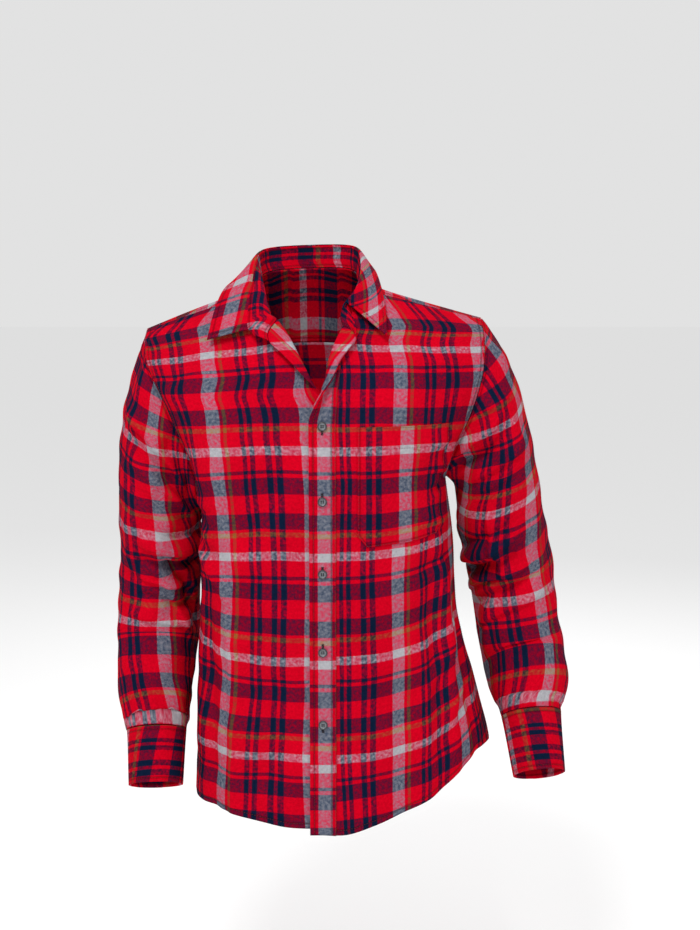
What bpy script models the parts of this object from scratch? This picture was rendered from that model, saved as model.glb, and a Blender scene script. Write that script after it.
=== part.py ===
"""Men's long-sleeved flannel shirt, in the hollow form that it keeps when it is worn.

Frame: metres, +Z up, the front faces -Y, +X is the wearer's left. The origin lies at the base of the
neck, midway between the two shoulder points, at the height of the side neck points.
Every cloth piece is an open grid of points, worked out from the tables below, given a wall by Solidify.
Cloth coordinates: q runs up the cloth from the front hem (the weft lies along constant q), and p runs
round the body from the centre front.
"""
import math

import bmesh
import bpy
import numpy as np
from mathutils import Matrix, Vector

# ---------------------------------------------------------------- driving dimensions, metres
CLOTH = 0.0015              # wall of a cloth piece
LAYER = 0.0019              # from the middle of one layer to the middle of the next
SEAM = 0.00015              # each edge's distance from its seam line
ARMHOLE_SEAM = (0.0011, 0.0016)     # the sleeve's distance from the armhole: at its top, underarm
YOKE_SEAM = 0.00045         # the yoke's distance from its back and front seams
BAND_WIDTH = 0.033          # the button-through band on the left front
ROLL_RADIUS = 0.0035        # soft turn where a front edge folds back over the chest
HEM_BLEND = 0.25            # height over which rows turn from the curved hem to the weft
BUTTON_RADIUS = 0.0058
SEAT = 0.0015               # a button's base, from the middle of the cloth under it
BUTTON_HEIGHT = 0.0026
HOLE_RADIUS = 0.0007
HOLE_SPACING = 0.0012       # each hole's distance from the button's two middle lines
BAND_COLUMNS = 8
POCKET_COLUMNS = 5
POCKET_WIDTH = 0.124
POCKET_HEIGHT = 0.148
POCKET_CORNER = 0.015       # chamfer at the pocket's two lower corners
POCKET_BASE = 0.381         # q of the pocket's lower edge
POCKET_FROM_BAND = 0.026    # bare cloth between the band and the pocket
CUFF_OVERLAP = 0.022
HIDDEN_BUTTON = 0.6225      # q of the front's second button, under its turned-back edge
HIDDEN_SEAT = 0.0016
LAP_ANGLE = 1.35 * math.pi  # where a cuff closes: 0 inner, pi/2 front, pi outer
SLEEVE_BAND_ROWS = -7       # the placket above a cuff covers the sleeve's last rows
SLEEVE_END = 0.0005         # a sleeve's and a cuff's distance from the seam between them

# ---------------------------------------------------------------- neckline, collar
# Stations round the neck, from the right end of the stand to its left end.
# columns: seam x, y, z (the stand's lower edge), top x, y, z (the stand's upper edge)
STAND = (
    (-0.0519, -0.0915, -0.0690, -0.0775, -0.0875, -0.0640),
    (-0.0512, -0.0700, -0.0413, -0.0800, -0.0755, -0.0490),
    (-0.0574, -0.0550, -0.0289, -0.0790, -0.0480, -0.0165),
    (-0.0642, -0.0400, -0.0145, -0.0772, -0.0260, 0.0010),
    (-0.0695, -0.0100, -0.0010, -0.0755, 0.0030, 0.0260),
    (-0.0670, 0.0220, 0.0100, -0.0705, 0.0300, 0.0400),
    (-0.0500, 0.0500, 0.0170, -0.0520, 0.0550, 0.0470),
    (-0.0070, 0.0670, 0.0205, -0.0070, 0.0690, 0.0505),
    (0.0370, 0.0500, 0.0200, 0.0380, 0.0550, 0.0500),
    (0.0530, 0.0220, 0.0145, 0.0555, 0.0290, 0.0445),
    (0.0560, -0.0100, 0.0050, 0.0600, 0.0020, 0.0325),
    (0.0575, -0.0380, -0.0085, 0.0605, -0.0260, 0.0140),
    (0.0500, -0.0600, -0.0290, 0.0545, -0.0520, -0.0080),
    (0.0425, -0.0790, -0.0530, 0.0385, -0.0740, -0.0300),
    (0.0535, -0.0900, -0.0610, 0.0480, -0.0880, -0.0330),
)
NECK_RIGHT, NECK_LEFT = 3, 11       # stations where the yoke's front seams meet the neckline
# The leaf's outer edge. columns: stand station, edge x, y, z, crown (how far the fold stands up)
LEAF = (
    (0.35, -0.1297, -0.0800, -0.0715, 0.002),
    (1.6, -0.1225, -0.0510, -0.0345, 0.004),
    (3.6, -0.1080, -0.0020, -0.0015, 0.006),
    (4.8, -0.0900, 0.0400, 0.0100, 0.007),
    (6.0, -0.0620, 0.0830, 0.0050, 0.008),
    (7.0, -0.0060, 0.1000, 0.0020, 0.008),
    (8.0, 0.0480, 0.0840, 0.0080, 0.008),
    (9.2, 0.0740, 0.0440, 0.0160, 0.007),
    (10.3, 0.0800, 0.0020, 0.0130, 0.006),
    (11.6, 0.0900, -0.0530, -0.0265, 0.005),
    (12.75, 0.0922, -0.0950, -0.0665, 0.002),
)

# ---------------------------------------------------------------- fronts
# columns: q, fold line x, y, z, p of the fold line, strip (cloth past it), curl (degrees that the
#          strip is rolled back), roundness of the row, lift of the row
FRONT_RIGHT = (
    (-0.030, 0.0130, -0.1200, -0.7300, 0.0000, 0.0165, 0, 2.9, 2.6),
    (0.098, 0.0130, -0.1120, -0.6084, 0.0000, 0.0165, 0, 3.0, 2.6),
    (0.232, 0.0130, -0.1130, -0.4736, 0.0000, 0.0165, 0, 2.7, 2.6),
    (0.369, 0.0130, -0.1200, -0.3366, 0.0000, 0.0165, 0, 3.3, 2.4),
    (0.455, 0.0130, -0.1240, -0.2510, 0.0000, 0.0165, 0, 3.7, 2.0),
    (0.500, 0.0130, -0.1230, -0.2060, 0.0000, 0.0165, 0, 3.5, 1.8),
    (0.535, 0.0130, -0.1195, -0.1710, 0.0000, 0.0165, 0, 3.3, 1.6),
    (0.556, 0.0115, -0.1135, -0.1515, -0.0040, 0.0125, 0, 3.1, 1.5),
    (0.568, 0.0062, -0.1112, -0.1390, -0.0080, 0.0085, 12, 2.9, 1.45),
    (0.578, 0.0010, -0.1090, -0.1295, -0.0070, 0.0095, 75, 2.7, 1.45),
    (0.590, -0.0055, -0.1060, -0.1175, -0.0010, 0.0155, 118, 2.4, 1.4),
    (0.606, -0.0130, -0.1005, -0.1027, 0.0040, 0.0205, 142, 2.2, 1.35),
    (0.6225, -0.0208, -0.0930, -0.0878, 0.0100, 0.0265, 162, 1.9, 1.3),
    (0.6400, -0.0295, -0.0855, -0.0717, 0.0185, 0.0340, 168, 1.8, 1.25),
    (0.6535, -0.0369, -0.0800, -0.0596, 0.0230, 0.0270, 168, 1.6, 1.2),
    (0.6650, -0.0447, -0.0745, -0.0500, 0.0270, 0.0110, 160, 1.5, 1.2),
    (0.676,) + STAND[1][:3] + (0.0310, -0.0006, 150, 1.4, 1.15),
    (0.692,) + STAND[2][:3] + (0.0450, -0.0009, 0, 1.2, 1.15),
    (0.710,) + STAND[3][:3] + (0.0640, -0.0009, 0, 1.1, 1.15),
)
FRONT_LEFT = (
    (-0.030, 0.0130, -0.1222, -0.7300, 0.0000, 0.0165, 0, 2.5, 2.2),
    (0.098, 0.0130, -0.1142, -0.6084, 0.0000, 0.0165, 0, 2.5, 2.2),
    (0.232, 0.0130, -0.1152, -0.4736, 0.0000, 0.0165, 0, 2.4, 2.4),
    (0.369, 0.0130, -0.1222, -0.3366, 0.0000, 0.0165, 0, 2.3, 3.0),
    (0.455, 0.0130, -0.1262, -0.2510, 0.0000, 0.0165, 0, 2.3, 2.2),
    (0.500, 0.0130, -0.1252, -0.2060, 0.0000, 0.0165, 0, 2.3, 1.8),
    (0.535, 0.0130, -0.1228, -0.1710, 0.0000, 0.0165, 0, 2.2, 1.6),
    (0.556, 0.0143, -0.1205, -0.1500, 0.0000, 0.0165, 50, 2.2, 1.5),
    (0.575, 0.0160, -0.1155, -0.1320, 0.0010, 0.0175, 95, 2.1, 1.4),
    (0.593, 0.0208, -0.1080, -0.1145, 0.0030, 0.0195, 130, 2.0, 1.3),
    (0.610, 0.0242, -0.1000, -0.0960, 0.0055, 0.0220, 158, 1.9, 1.25),
    (0.625, 0.0288, -0.0950, -0.0822, 0.0105, 0.0270, 166, 1.9, 1.2),
    (0.642, 0.0345, -0.0890, -0.0690, 0.0145, 0.0310, 168, 1.7, 1.15),
    (0.657, 0.0395, -0.0825, -0.0590, 0.0145, 0.0190, 165, 1.6, 1.1),
    (0.666, 0.0415, -0.0800, -0.0550, 0.0148, 0.0080, 155, 1.5, 1.08),
    (0.672,) + STAND[13][:3] + (0.0150, -0.0006, 140, 1.4, 1.05),
    (0.690,) + STAND[12][:3] + (0.0300, -0.0009, 0, 1.2, 1.0),
    (0.710,) + STAND[11][:3] + (0.0520, -0.0009, 0, 1.1, 1.0),
)
# q at which each flap's top edge, sewn to the stand's end, starts and stops
FLAP_TOP_RIGHT, FLAP_TOP_LEFT = (0.640, 0.676), (0.642, 0.672)
# Gap left under the stand, wider where it leans over its neighbour. columns: station, gap
STAND_GAP = ((0.0, 0.0009), (1.0, 0.0012), (2.0, 0.0014), (3.0, 0.0014), (5.0, 0.0011),
             (9.0, 0.0011), (12.0, 0.0013), (13.0, 0.0011), (14.0, 0.0009))
# How far the stand bows out between its edges. columns: station, x, y, z
STAND_BOW = ((0.0, 0.000, -0.002, 0.001), (1.0, 0.005, -0.006, 0.005), (2.0, 0.007, -0.006, 0.007),
             (3.0, 0.007, -0.003, 0.006), (4.5, 0.001, 0.000, 0.000), (11.0, 0.000, 0.000, 0.000),
             (12.0, -0.002, 0.000, 0.000), (13.0, -0.003, 0.001, 0.000), (14.0, 0.001, -0.003, 0.000))

# ---------------------------------------------------------------- side seams and armholes
# columns: q, x, y, z, from below the hem up to the underarm
SIDE_RIGHT = (
    (-0.030, -0.1580, 0.0350, -0.7250), (0.098, -0.1590, 0.0250, -0.5990),
    (0.232, -0.1530, 0.0150, -0.4600), (0.369, -0.1465, 0.0100, -0.3500),
    (0.440, -0.1465, 0.0050, -0.2760),
)
SIDE_LEFT = (
    (-0.030, 0.2420, 0.0260, -0.6720), (0.040, 0.2340, 0.0220, -0.6070),
    (0.098, 0.2190, 0.0160, -0.5476), (0.232, 0.1890, 0.0080, -0.4364),
    (0.369, 0.1795, 0.0040, -0.3180), (0.453, 0.1700, 0.0020, -0.2510),
)
# From the underarm, up the front of the armhole, to the yoke's front seam
ARM_FRONT_RIGHT = (
    (0.4400, -0.1465, 0.0050, -0.2760), (0.4415, -0.1465, -0.0080, -0.2745),
    (0.4480, -0.1470, -0.0210, -0.2680), (0.4650, -0.1495, -0.0340, -0.2500),
    (0.4950, -0.1600, -0.0460, -0.2150), (0.5260, -0.1735, -0.0520, -0.1830),
    (0.5600, -0.1880, -0.0510, -0.1500), (0.5950, -0.2025, -0.0440, -0.1220),
    (0.6300, -0.2120, -0.0350, -0.0990), (0.6700, -0.2155, -0.0220, -0.0760),
    (0.7100, -0.2140, -0.0115, -0.0610),
)
ARM_FRONT_LEFT = (
    (0.4530, 0.1700, 0.0020, -0.2510), (0.4548, 0.1702, -0.0110, -0.2492),
    (0.4610, 0.1712, -0.0240, -0.2420), (0.4770, 0.1752, -0.0360, -0.2250),
    (0.5020, 0.1840, -0.0460, -0.1990), (0.5280, 0.1950, -0.0520, -0.1750),
    (0.5600, 0.2060, -0.0550, -0.1440), (0.5950, 0.2150, -0.0480, -0.1110),
    (0.6300, 0.2175, -0.0370, -0.0850), (0.6700, 0.2170, -0.0230, -0.0620),
    (0.7100, 0.2148, -0.0100, -0.0475),
)
# From the underarm, up the back of the armhole, to the yoke's back seam
ARM_BACK_RIGHT = (
    (0.4400, -0.1465, 0.0050, -0.2760), (0.4415, -0.1465, 0.0180, -0.2745),
    (0.4490, -0.1475, 0.0310, -0.2670), (0.4700, -0.1525, 0.0460, -0.2450),
    (0.5050, -0.1640, 0.0610, -0.2100), (0.5450, -0.1780, 0.0690, -0.1740),
    (0.5900, -0.1920, 0.0740, -0.1370), (0.6300, -0.2030, 0.0720, -0.1080),
)
ARM_BACK_LEFT = (
    (0.4530, 0.1700, 0.0020, -0.2510), (0.4550, 0.1705, 0.0180, -0.2480),
    (0.4620, 0.1725, 0.0330, -0.2400), (0.4800, 0.1775, 0.0470, -0.2200),
    (0.5100, 0.1860, 0.0590, -0.1900), (0.5450, 0.1950, 0.0680, -0.1610),
    (0.5900, 0.2040, 0.0740, -0.1240), (0.6300, 0.2095, 0.0720, -0.0960),
)
# Over the shoulder, from the yoke's front seam to its back seam. columns: share of the way, x, y, z
ARM_YOKE_RIGHT = (
    (0.0, -0.2140, -0.0115, -0.0610), (0.25, -0.2165, 0.0080, -0.0600),
    (0.55, -0.2130, 0.0380, -0.0740), (1.0, -0.2030, 0.0720, -0.1080),
)
ARM_YOKE_LEFT = (
    (0.0, 0.2148, -0.0100, -0.0475), (0.25, 0.2170, 0.0100, -0.0460),
    (0.55, 0.2155, 0.0380, -0.0600), (1.0, 0.2095, 0.0720, -0.0960),
)

# ---------------------------------------------------------------- back
# columns: q, centre back x, y, z, roundness of the row, lift of the row
BACK = (
    (-0.040, 0.0300, 0.1400, -0.7400, 2.5, 2.4), (0.098, 0.0270, 0.1330, -0.6050, 2.5, 2.4),
    (0.232, 0.0190, 0.1210, -0.4700, 2.4, 2.4), (0.369, 0.0140, 0.1160, -0.3340, 2.3, 2.2),
    (0.440, 0.0100, 0.1220, -0.2640, 2.4, 2.0), (0.500, 0.0060, 0.1270, -0.2060, 2.4, 1.8),
    (0.560, 0.0020, 0.1250, -0.1470, 2.3, 1.8), (0.600, -0.0010, 0.1180, -0.1080, 2.3, 1.7),
    (0.630, -0.0030, 0.1090, -0.0790, 2.2, 1.7),
)
# The cut of the hem. columns: share of the way from the centre to the side seam, q
HEM_RIGHT = ((0.0, 0.016), (0.20, 0.018), (0.35, 0.025), (0.47, 0.029), (0.60, 0.027), (0.80, 0.025),
             (1.0, 0.028))
HEM_LEFT = ((0.0, 0.009), (0.10, 0.008), (0.20, 0.016), (0.31, 0.023), (0.49, 0.032), (0.61, 0.043),
            (0.73, 0.050), (0.86, 0.044), (1.0, 0.034))
HEM_BACK = ((0.0, -0.016), (0.45, -0.010), (0.75, 0.008), (1.0, 0.030))
YOKE_CROWN_RIGHT, YOKE_CROWN_BACK, YOKE_CROWN_LEFT = 0.007, 0.005, 0.001

# ---------------------------------------------------------------- sleeves and cuffs
# Rings down the arm; the last two are the cuff's. columns: centre x, y, z, half width, half depth
LIMB_RIGHT = (
    (-0.2083, 0.0220, -0.3187, 0.0525, 0.0646), (-0.2113, 0.0450, -0.3807, 0.0534, 0.0620),
    (-0.2165, 0.0520, -0.4585, 0.0551, 0.0602), (-0.2173, 0.0360, -0.5046, 0.0529, 0.0569),
    (-0.2167, 0.0140, -0.5456, 0.0485, 0.0516), (-0.2126, -0.0090, -0.5793, 0.0432, 0.0457),
    (-0.2109, -0.0180, -0.5912, 0.0385, 0.0416), (-0.2084, -0.0500, -0.6544, 0.0346, 0.0381),
)
LIMB_LEFT = (
    (0.2493, 0.0240, -0.3186, 0.0575, 0.0646), (0.2646, 0.0450, -0.3807, 0.0564, 0.0620),
    (0.2799, 0.0460, -0.4792, 0.0560, 0.0601), (0.2871, 0.0220, -0.5269, 0.0529, 0.0557),
    (0.2889, 0.0060, -0.5544, 0.0469, 0.0499), (0.2898, -0.0060, -0.5730, 0.0392, 0.0427),
    (0.2957, -0.0460, -0.6409, 0.0333, 0.0371),
)
# How a sleeve leaves its armhole, in lengths of its path.
# columns: outward at the underarm, outward at the shoulder, down at the shoulder
CAP_RIGHT = (0.90, 0.24, 0.90)
CAP_LEFT = (0.90, 0.60, 0.62)
CAP_ROWS, ARM_ROWS = 7, 10

# ---------------------------------------------------------------- folds, largest only
# Lines on the cloth. columns: p1, q1, p2, q2, half width, height (out of the cloth if positive)
FOLDS_FRONT_RIGHT = (
    (0.108, -0.05, 0.113, 0.30, 0.022, 0.004), (0.150, -0.05, 0.148, 0.30, 0.020, -0.007),
)
FOLDS_FRONT_LEFT = (
    (0.150, -0.05, 0.146, 0.33, 0.022, 0.005), (0.190, -0.05, 0.176, 0.30, 0.018, -0.008),
)
FOLDS_BACK = (
    (-0.120, -0.05, -0.105, 0.34, 0.026, -0.008), (-0.062, -0.05, -0.055, 0.26, 0.030, 0.005),
    (0.045, -0.05, 0.040, 0.30, 0.030, 0.006), (0.110, -0.05, 0.095, 0.36, 0.026, -0.009),
    (0.000, 0.32, -0.100, 0.42, 0.024, 0.003), (0.020, 0.34, 0.110, 0.43, 0.024, 0.003),
)
# On a sleeve: angle in turns (0 inner, 0.25 front, 0.5 outer, 0.75 back) and share of the arm
FOLDS_SLEEVE = (
    (0.02, 0.12, 0.30, 0.26, 0.075, 0.003), (0.00, 0.30, 0.28, 0.42, 0.065, -0.003),
)

BUTTON_HEIGHTS = (-0.175, -0.2665, -0.357, -0.457, -0.5505)
CLOTH_COLOUR = (0.62, 0.015, 0.03, 1.0)
DARK_COLOUR = (0.02, 0.03, 0.07, 1.0)
BUTTON_COLOUR = (0.035, 0.035, 0.04, 1.0)


# ---------------------------------------------------------------- curves
def smooth(table, at):
    """The rows of a table as one smooth curve: first column the key, the rest the values."""
    rows = np.array(table, float)
    keys, values = rows[:, 0], rows[:, 1:]
    slopes = np.gradient(values, keys, axis=0)
    at = np.clip(np.asarray(at, float), keys[0], keys[-1])
    low = np.clip(np.searchsorted(keys, at, side="right") - 1, 0, len(keys) - 2)
    span = (keys[low + 1] - keys[low])[..., None]
    t = (at[..., None] - keys[low][..., None]) / span
    start, end = values[low], values[low + 1]
    bend = (t ** 3 - 2 * t ** 2 + t) * slopes[low] + (t ** 3 - t ** 2) * slopes[low + 1]
    return start + (end - start) * (3 * t ** 2 - 2 * t ** 3) + bend * span


def numbered(rows):
    """Puts a row's number in front of it, as the key for smooth."""
    return [(number,) + tuple(row) for number, row in enumerate(rows)]


def lengths(points):
    """Distance along a line of points, from its first."""
    steps = np.linalg.norm(np.diff(points, axis=0), axis=1)
    return np.concatenate(([0.0], np.cumsum(steps)))


def along(points, distances):
    """Points of a line at the distances given along it."""
    run = lengths(points)
    return np.stack([np.interp(distances, run, points[:, axis]) for axis in range(3)], axis=1)


def ramp(low, high, value):
    """Rises softly from 0 at low to 1 at high."""
    t = np.clip((value - low) / (high - low), 0.0, 1.0)
    return t * t * (3 - 2 * t)


def fold_height(folds, p, q):
    """Height of all the folds at a point of the cloth."""
    total = np.zeros(np.broadcast(p, q).shape)
    for p1, q1, p2, q2, width, height in folds:
        run = math.hypot(p2 - p1, q2 - q1)
        way = ((p - p1) * (p2 - p1) + (q - q1) * (q2 - q1)) / run
        side = ((p - p1) * (q2 - q1) - (q - q1) * (p2 - p1)) / run
        ends = ramp(-0.06, 0.06, way) * ramp(-0.06, 0.06, run - way)
        total += height * ends * np.exp(-(side / width) ** 2)
    return total


def grid_normals(grid):
    """Unit normals of a grid of points, columns crossed with rows."""
    down = np.gradient(grid, axis=0)
    across = np.gradient(grid, axis=1)
    normal = np.cross(across, down)
    return normal / np.maximum(np.linalg.norm(normal, axis=2, keepdims=True), 1e-9)


def pull_in(grid, top=0.0, bottom=0.0, first=0.0, last=0.0):
    """Draws a grid's outer rows and columns in from their seam lines by the distances given."""
    grid = grid.copy()
    for gap, edge, inner in ((top, -1, -2), (bottom, 0, 1)):
        if np.any(gap):
            step = grid[inner] - grid[edge]
            grid[edge] += step * np.minimum(gap / np.linalg.norm(step, axis=1), 0.5)[:, None]
    for gap, edge, inner in ((first, 0, 1), (last, -1, -2)):
        if gap:
            step = grid[:, inner] - grid[:, edge]
            grid[:, edge] += step * np.minimum(gap / np.linalg.norm(step, axis=1), 0.5)[:, None]
    return grid


# ---------------------------------------------------------------- torso surfaces
class Side:
    """One side's tables; sign is +1 for the wearer's left."""

    def __init__(self, sign, front, side, arm_front, arm_back, arm_yoke, hem, folds, cap):
        self.sign, self.front, self.side = sign, front, side
        self.arm_yoke = arm_yoke
        self.hem, self.folds, self.cap = hem, folds, cap
        self.underarm = side[-1][0]

        self.curves = {}
        for key, table in (("front", arm_front), ("back", arm_back)):
            fine = np.linspace(0, len(table) - 1, 200)
            self.curves[key] = smooth(numbered(table), fine)

    def outer(self, q, arm):
        """The side seam up to the underarm, then the armhole."""
        if q <= self.underarm:
            return smooth(self.side, q)
        return self.armhole(q, arm)

    def armhole(self, q, arm):
        """Points of the armhole's front or back half at the heights given."""
        curve = self.curves[arm]
        return np.stack([np.interp(q, curve[:, 0], curve[:, axis]) for axis in (1, 2, 3)], axis=-1)


RIGHT = Side(-1, FRONT_RIGHT, SIDE_RIGHT, ARM_FRONT_RIGHT, ARM_BACK_RIGHT, ARM_YOKE_RIGHT,
             HEM_RIGHT, FOLDS_FRONT_RIGHT, CAP_RIGHT)
LEFT = Side(1, FRONT_LEFT, SIDE_LEFT, ARM_FRONT_LEFT, ARM_BACK_LEFT, ARM_YOKE_LEFT,
            HEM_LEFT, FOLDS_FRONT_LEFT, CAP_LEFT)


def partial_arc(centre, outer, side_y, roundness):
    """Share of a full side's arc at which a row ends, and the depth left there."""
    left = max((outer - side_y) / (centre - side_y), 0.0)
    return (1 - left ** roundness) ** (1 / roundness), left


def front_row(side, q, samples=72):
    """A weft line of a front from its fold line round to the side, then its p, strip and curl."""
    fold_x, fold_y, fold_z, place, strip, curl, roundness, lift = smooth(side.front, q)
    outer = side.outer(q, "front")
    end, left = (1.0, 0.0)
    if q > side.underarm:
        end, left = partial_arc(fold_y, outer[1], side.side[-1][2], roundness)
    share = np.sin(np.linspace(0, math.asin(end), samples))
    depth = (np.maximum(1 - share ** roundness, 0) ** (1 / roundness) - left) / (1 - left)
    row = np.stack([fold_x + (outer[0] - fold_x) * share / end,
                    outer[1] + (fold_y - outer[1]) * depth,
                    fold_z + (outer[2] - fold_z) * (share / end) ** lift], axis=1)
    run = lengths(row)
    ahead = np.gradient(row, axis=0)
    outward = np.stack([ahead[:, 1], -ahead[:, 0], np.zeros(samples)], axis=1) * side.sign
    outward /= np.maximum(np.linalg.norm(outward, axis=1, keepdims=True), 1e-9)
    ends = ramp(0, 0.03, run) * ramp(0, 0.012, run[-1] - run)
    row = row + outward * (fold_height(side.folds, run, q) * ends)[:, None]
    return row, place, strip, math.radians(max(curl, 0.0))


def strip_point(row, run, curl, sign):
    """A point of the cloth past a front's fold line, rolled back over the chest by its curl."""
    toward = row[0] - row[1]
    toward /= np.linalg.norm(toward)
    out = np.array([toward[1], -toward[0], 0.0]) * -sign
    out /= np.linalg.norm(out)
    turn = min(run / ROLL_RADIUS, curl)
    rest = run - turn * ROLL_RADIUS
    flat = ROLL_RADIUS * math.sin(turn) + rest * math.cos(turn)
    high = ROLL_RADIUS * (1 - math.cos(turn)) + rest * math.sin(turn)
    return row[0] + toward * flat + out * high


def front_point(side, q, run):
    """A point of a front at the height q, run past the fold line, or before it if negative."""
    row, _, _, curl = front_row(side, q)
    if run < 0:
        return strip_point(row, -run, curl, side.sign)
    return along(row, [run])[0]


def edge_point(side, q):
    """A point of a front's free edge, or of the cut edge above it."""
    _, _, strip, _ = front_row(side, q)
    return front_point(side, q, -strip)


def front_columns(side, q, columns):
    """Distances of a row's points from the fold line: the band's, then the pocket's, then the rest."""
    row, place, strip, curl = front_row(side, q)
    length = lengths(row)[-1]
    inner = max(BAND_WIDTH / 2 - place, 0.002, 0.004 - strip)
    even = np.linspace(-strip, inner, BAND_COLUMNS + 1)
    roll = min(ROLL_RADIUS * curl, 0.8 * max(strip, 0.0))
    rolled = np.concatenate([[-strip, -(strip + roll) / 2, -roll, -0.67 * roll, -0.33 * roll, 0.0],
                             np.linspace(0.0, inner, BAND_COLUMNS - 4)[1:]])
    near = even + (rolled - even) * (ramp(0.3, 1.2, curl) * ramp(0.004, 0.010, strip))
    first = BAND_WIDTH / 2 + POCKET_FROM_BAND - place
    pocket = np.linspace(first, first + POCKET_WIDTH, POCKET_COLUMNS + 1)
    fixed = np.concatenate([pocket, np.linspace(pocket[-1], length, columns + 1)[1:]])
    spread = np.linspace(near[-1], length, POCKET_COLUMNS + columns + 2)[1:]
    far = fixed + (spread - fixed) * ramp(0.535, 0.60, q)
    return np.concatenate([near, far])


def row_heights(hem, level, runs, side_run):
    """q along a grid row that follows the hem where level is 0 and the weft where it is 1."""
    rise = smooth(hem, np.clip(runs / side_run, 0, 1))[..., 0]
    return rise + (HEM_BLEND - rise) * level


def front_grid(side, levels, columns):
    """A whole front: the free edge first, then the flat part, rows from hem to yoke seam."""
    rows = []
    for level in levels:
        runs = front_columns(side, level, columns)
        heights = np.full(len(runs), level)
        if level < HEM_BLEND:
            heights = row_heights(side.hem, level / HEM_BLEND, runs, runs[-1])
        points = []
        for number, (run, height) in enumerate(zip(runs, heights)):
            if height != level:
                run = front_columns(side, height, columns)[number]
            points.append(front_point(side, height, run))
        rows.append(points)
    return np.array(rows)


def layer_on(grid, sign):
    """A grid moved out from the cloth under it by one layer."""
    return grid + grid_normals(grid) * LAYER * sign


def pocket_grid(front, levels):
    """The chest pocket from the left front's points, with its two lower corners cut off."""
    first = BAND_COLUMNS + 1
    low = int(np.argmin(np.abs(levels - POCKET_BASE)))
    high = int(np.argmin(np.abs(levels - POCKET_BASE - POCKET_HEIGHT)))
    grid = layer_on(front, LEFT.sign)[low:high + 1, first:first + POCKET_COLUMNS + 1].copy()
    inset = 0.8 * POCKET_CORNER / (POCKET_WIDTH / POCKET_COLUMNS)
    grid[0, 0] += (grid[0, 1] - grid[0, 0]) * inset
    grid[0, -1] += (grid[0, -2] - grid[0, -1]) * inset
    return grid


def back_row(q, samples=121):
    """A weft line of the back, from the right side through the centre to the left side."""
    centre_x, centre_y, centre_z, roundness, lift = smooth(BACK, q)
    halves = []
    for side in (RIGHT, LEFT):
        outer = side.outer(q, "back")
        end, left = (1.0, 0.0)
        if q > side.underarm:
            end, left = partial_arc(centre_y, outer[1], side.side[-1][2], roundness)
        share = np.sin(np.linspace(0, math.asin(end), samples // 2 + 1))
        depth = (np.maximum(1 - share ** roundness, 0) ** (1 / roundness) - left) / (1 - left)
        halves.append(np.stack([centre_x + (outer[0] - centre_x) * share / end,
                                outer[1] + (centre_y - outer[1]) * depth,
                                centre_z + (outer[2] - centre_z) * (share / end) ** lift], axis=1))
    row = np.concatenate([halves[0][:0:-1], halves[1]])
    run = lengths(row)
    middle = run[samples // 2]
    ahead = np.gradient(row, axis=0)
    outward = np.stack([-ahead[:, 1], ahead[:, 0], np.zeros(samples)], axis=1)
    outward /= np.linalg.norm(outward, axis=1, keepdims=True)
    ends = ramp(0, 0.02, run) * ramp(0, 0.02, run[-1] - run)
    return row + outward * (fold_height(FOLDS_BACK, run - middle, q) * ends)[:, None]


def back_grid(levels, columns):
    """The whole back, rows from hem to yoke seam."""
    shares = np.linspace(-1, 1, columns + 1)
    rows = []
    for q in levels:
        if q < HEM_BLEND:
            heights = row_heights(HEM_BACK, q / HEM_BLEND, np.abs(shares), 1.0)
            points = []
            for share, height in zip(shares, heights):
                row = back_row(height)
                points.append(along(row, [(share + 1) / 2 * lengths(row)[-1]])[0])
            rows.append(np.array(points))
        else:
            row = back_row(q)
            rows.append(along(row, (shares + 1) / 2 * lengths(row)[-1]))
    return np.array(rows)


def yoke_grid(shoulder, back_columns, rows):
    """The yoke, a horseshoe from the right front seam round the neck to the left front seam."""
    over = np.linspace(0, 1, shoulder + 1)
    seam = back_row(BACK[-1][0])
    seam = along(seam, np.linspace(0, 1, back_columns + 1) * lengths(seam)[-1])
    outer = np.concatenate([smooth(RIGHT.arm_yoke, over)[:-1], seam,
                            smooth(LEFT.arm_yoke, over[::-1])[1:]])
    stations = yoke_stations(shoulder, back_columns)
    inner = smooth(numbered(STAND), stations)[:, :3]
    shares = np.linspace(0, 1, rows + 1)
    grid = inner[None] + (outer - inner)[None] * shares[:, None, None]
    count = len(stations)
    place = np.arange(count) / (count - 1)
    near_right = 1 - ramp(0, shoulder / count, place)
    near_left = ramp(1 - shoulder / count, 1, place)
    for side, weight, column in ((RIGHT, near_right, 0), (LEFT, near_left, -1)):
        row, _, _, _ = front_row(side, side.front[-1][0])
        edge = along(row, shares * lengths(row)[-1])
        grid += (edge - grid[:, column])[:, None] * weight[None, :, None]
    crown = np.interp(place, (0, 0.12, 0.30, 0.5, 0.70, 0.88, 1),
                      (0, YOKE_CROWN_RIGHT, YOKE_CROWN_BACK, YOKE_CROWN_BACK, YOKE_CROWN_BACK,
                       YOKE_CROWN_LEFT, 0))
    lift = np.sin(math.pi * shares)[:, None] * crown[None]
    slope = np.array([0.0, 0.6, 0.8]) * np.ones((count, 1))
    slope[:, 1] *= np.sin(math.pi * place) ** 2
    return grid + lift[:, :, None] * slope[None]


def yoke_stations(shoulder, back_columns):
    """Stand stations of the yoke's columns."""
    turn = (1.6, 6.4)
    return NECK_RIGHT + np.concatenate([
        np.linspace(0, turn[0], shoulder + 1)[:-1], np.linspace(*turn, back_columns + 1),
        np.linspace(turn[1], NECK_LEFT - NECK_RIGHT, shoulder + 1)[1:]])


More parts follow.
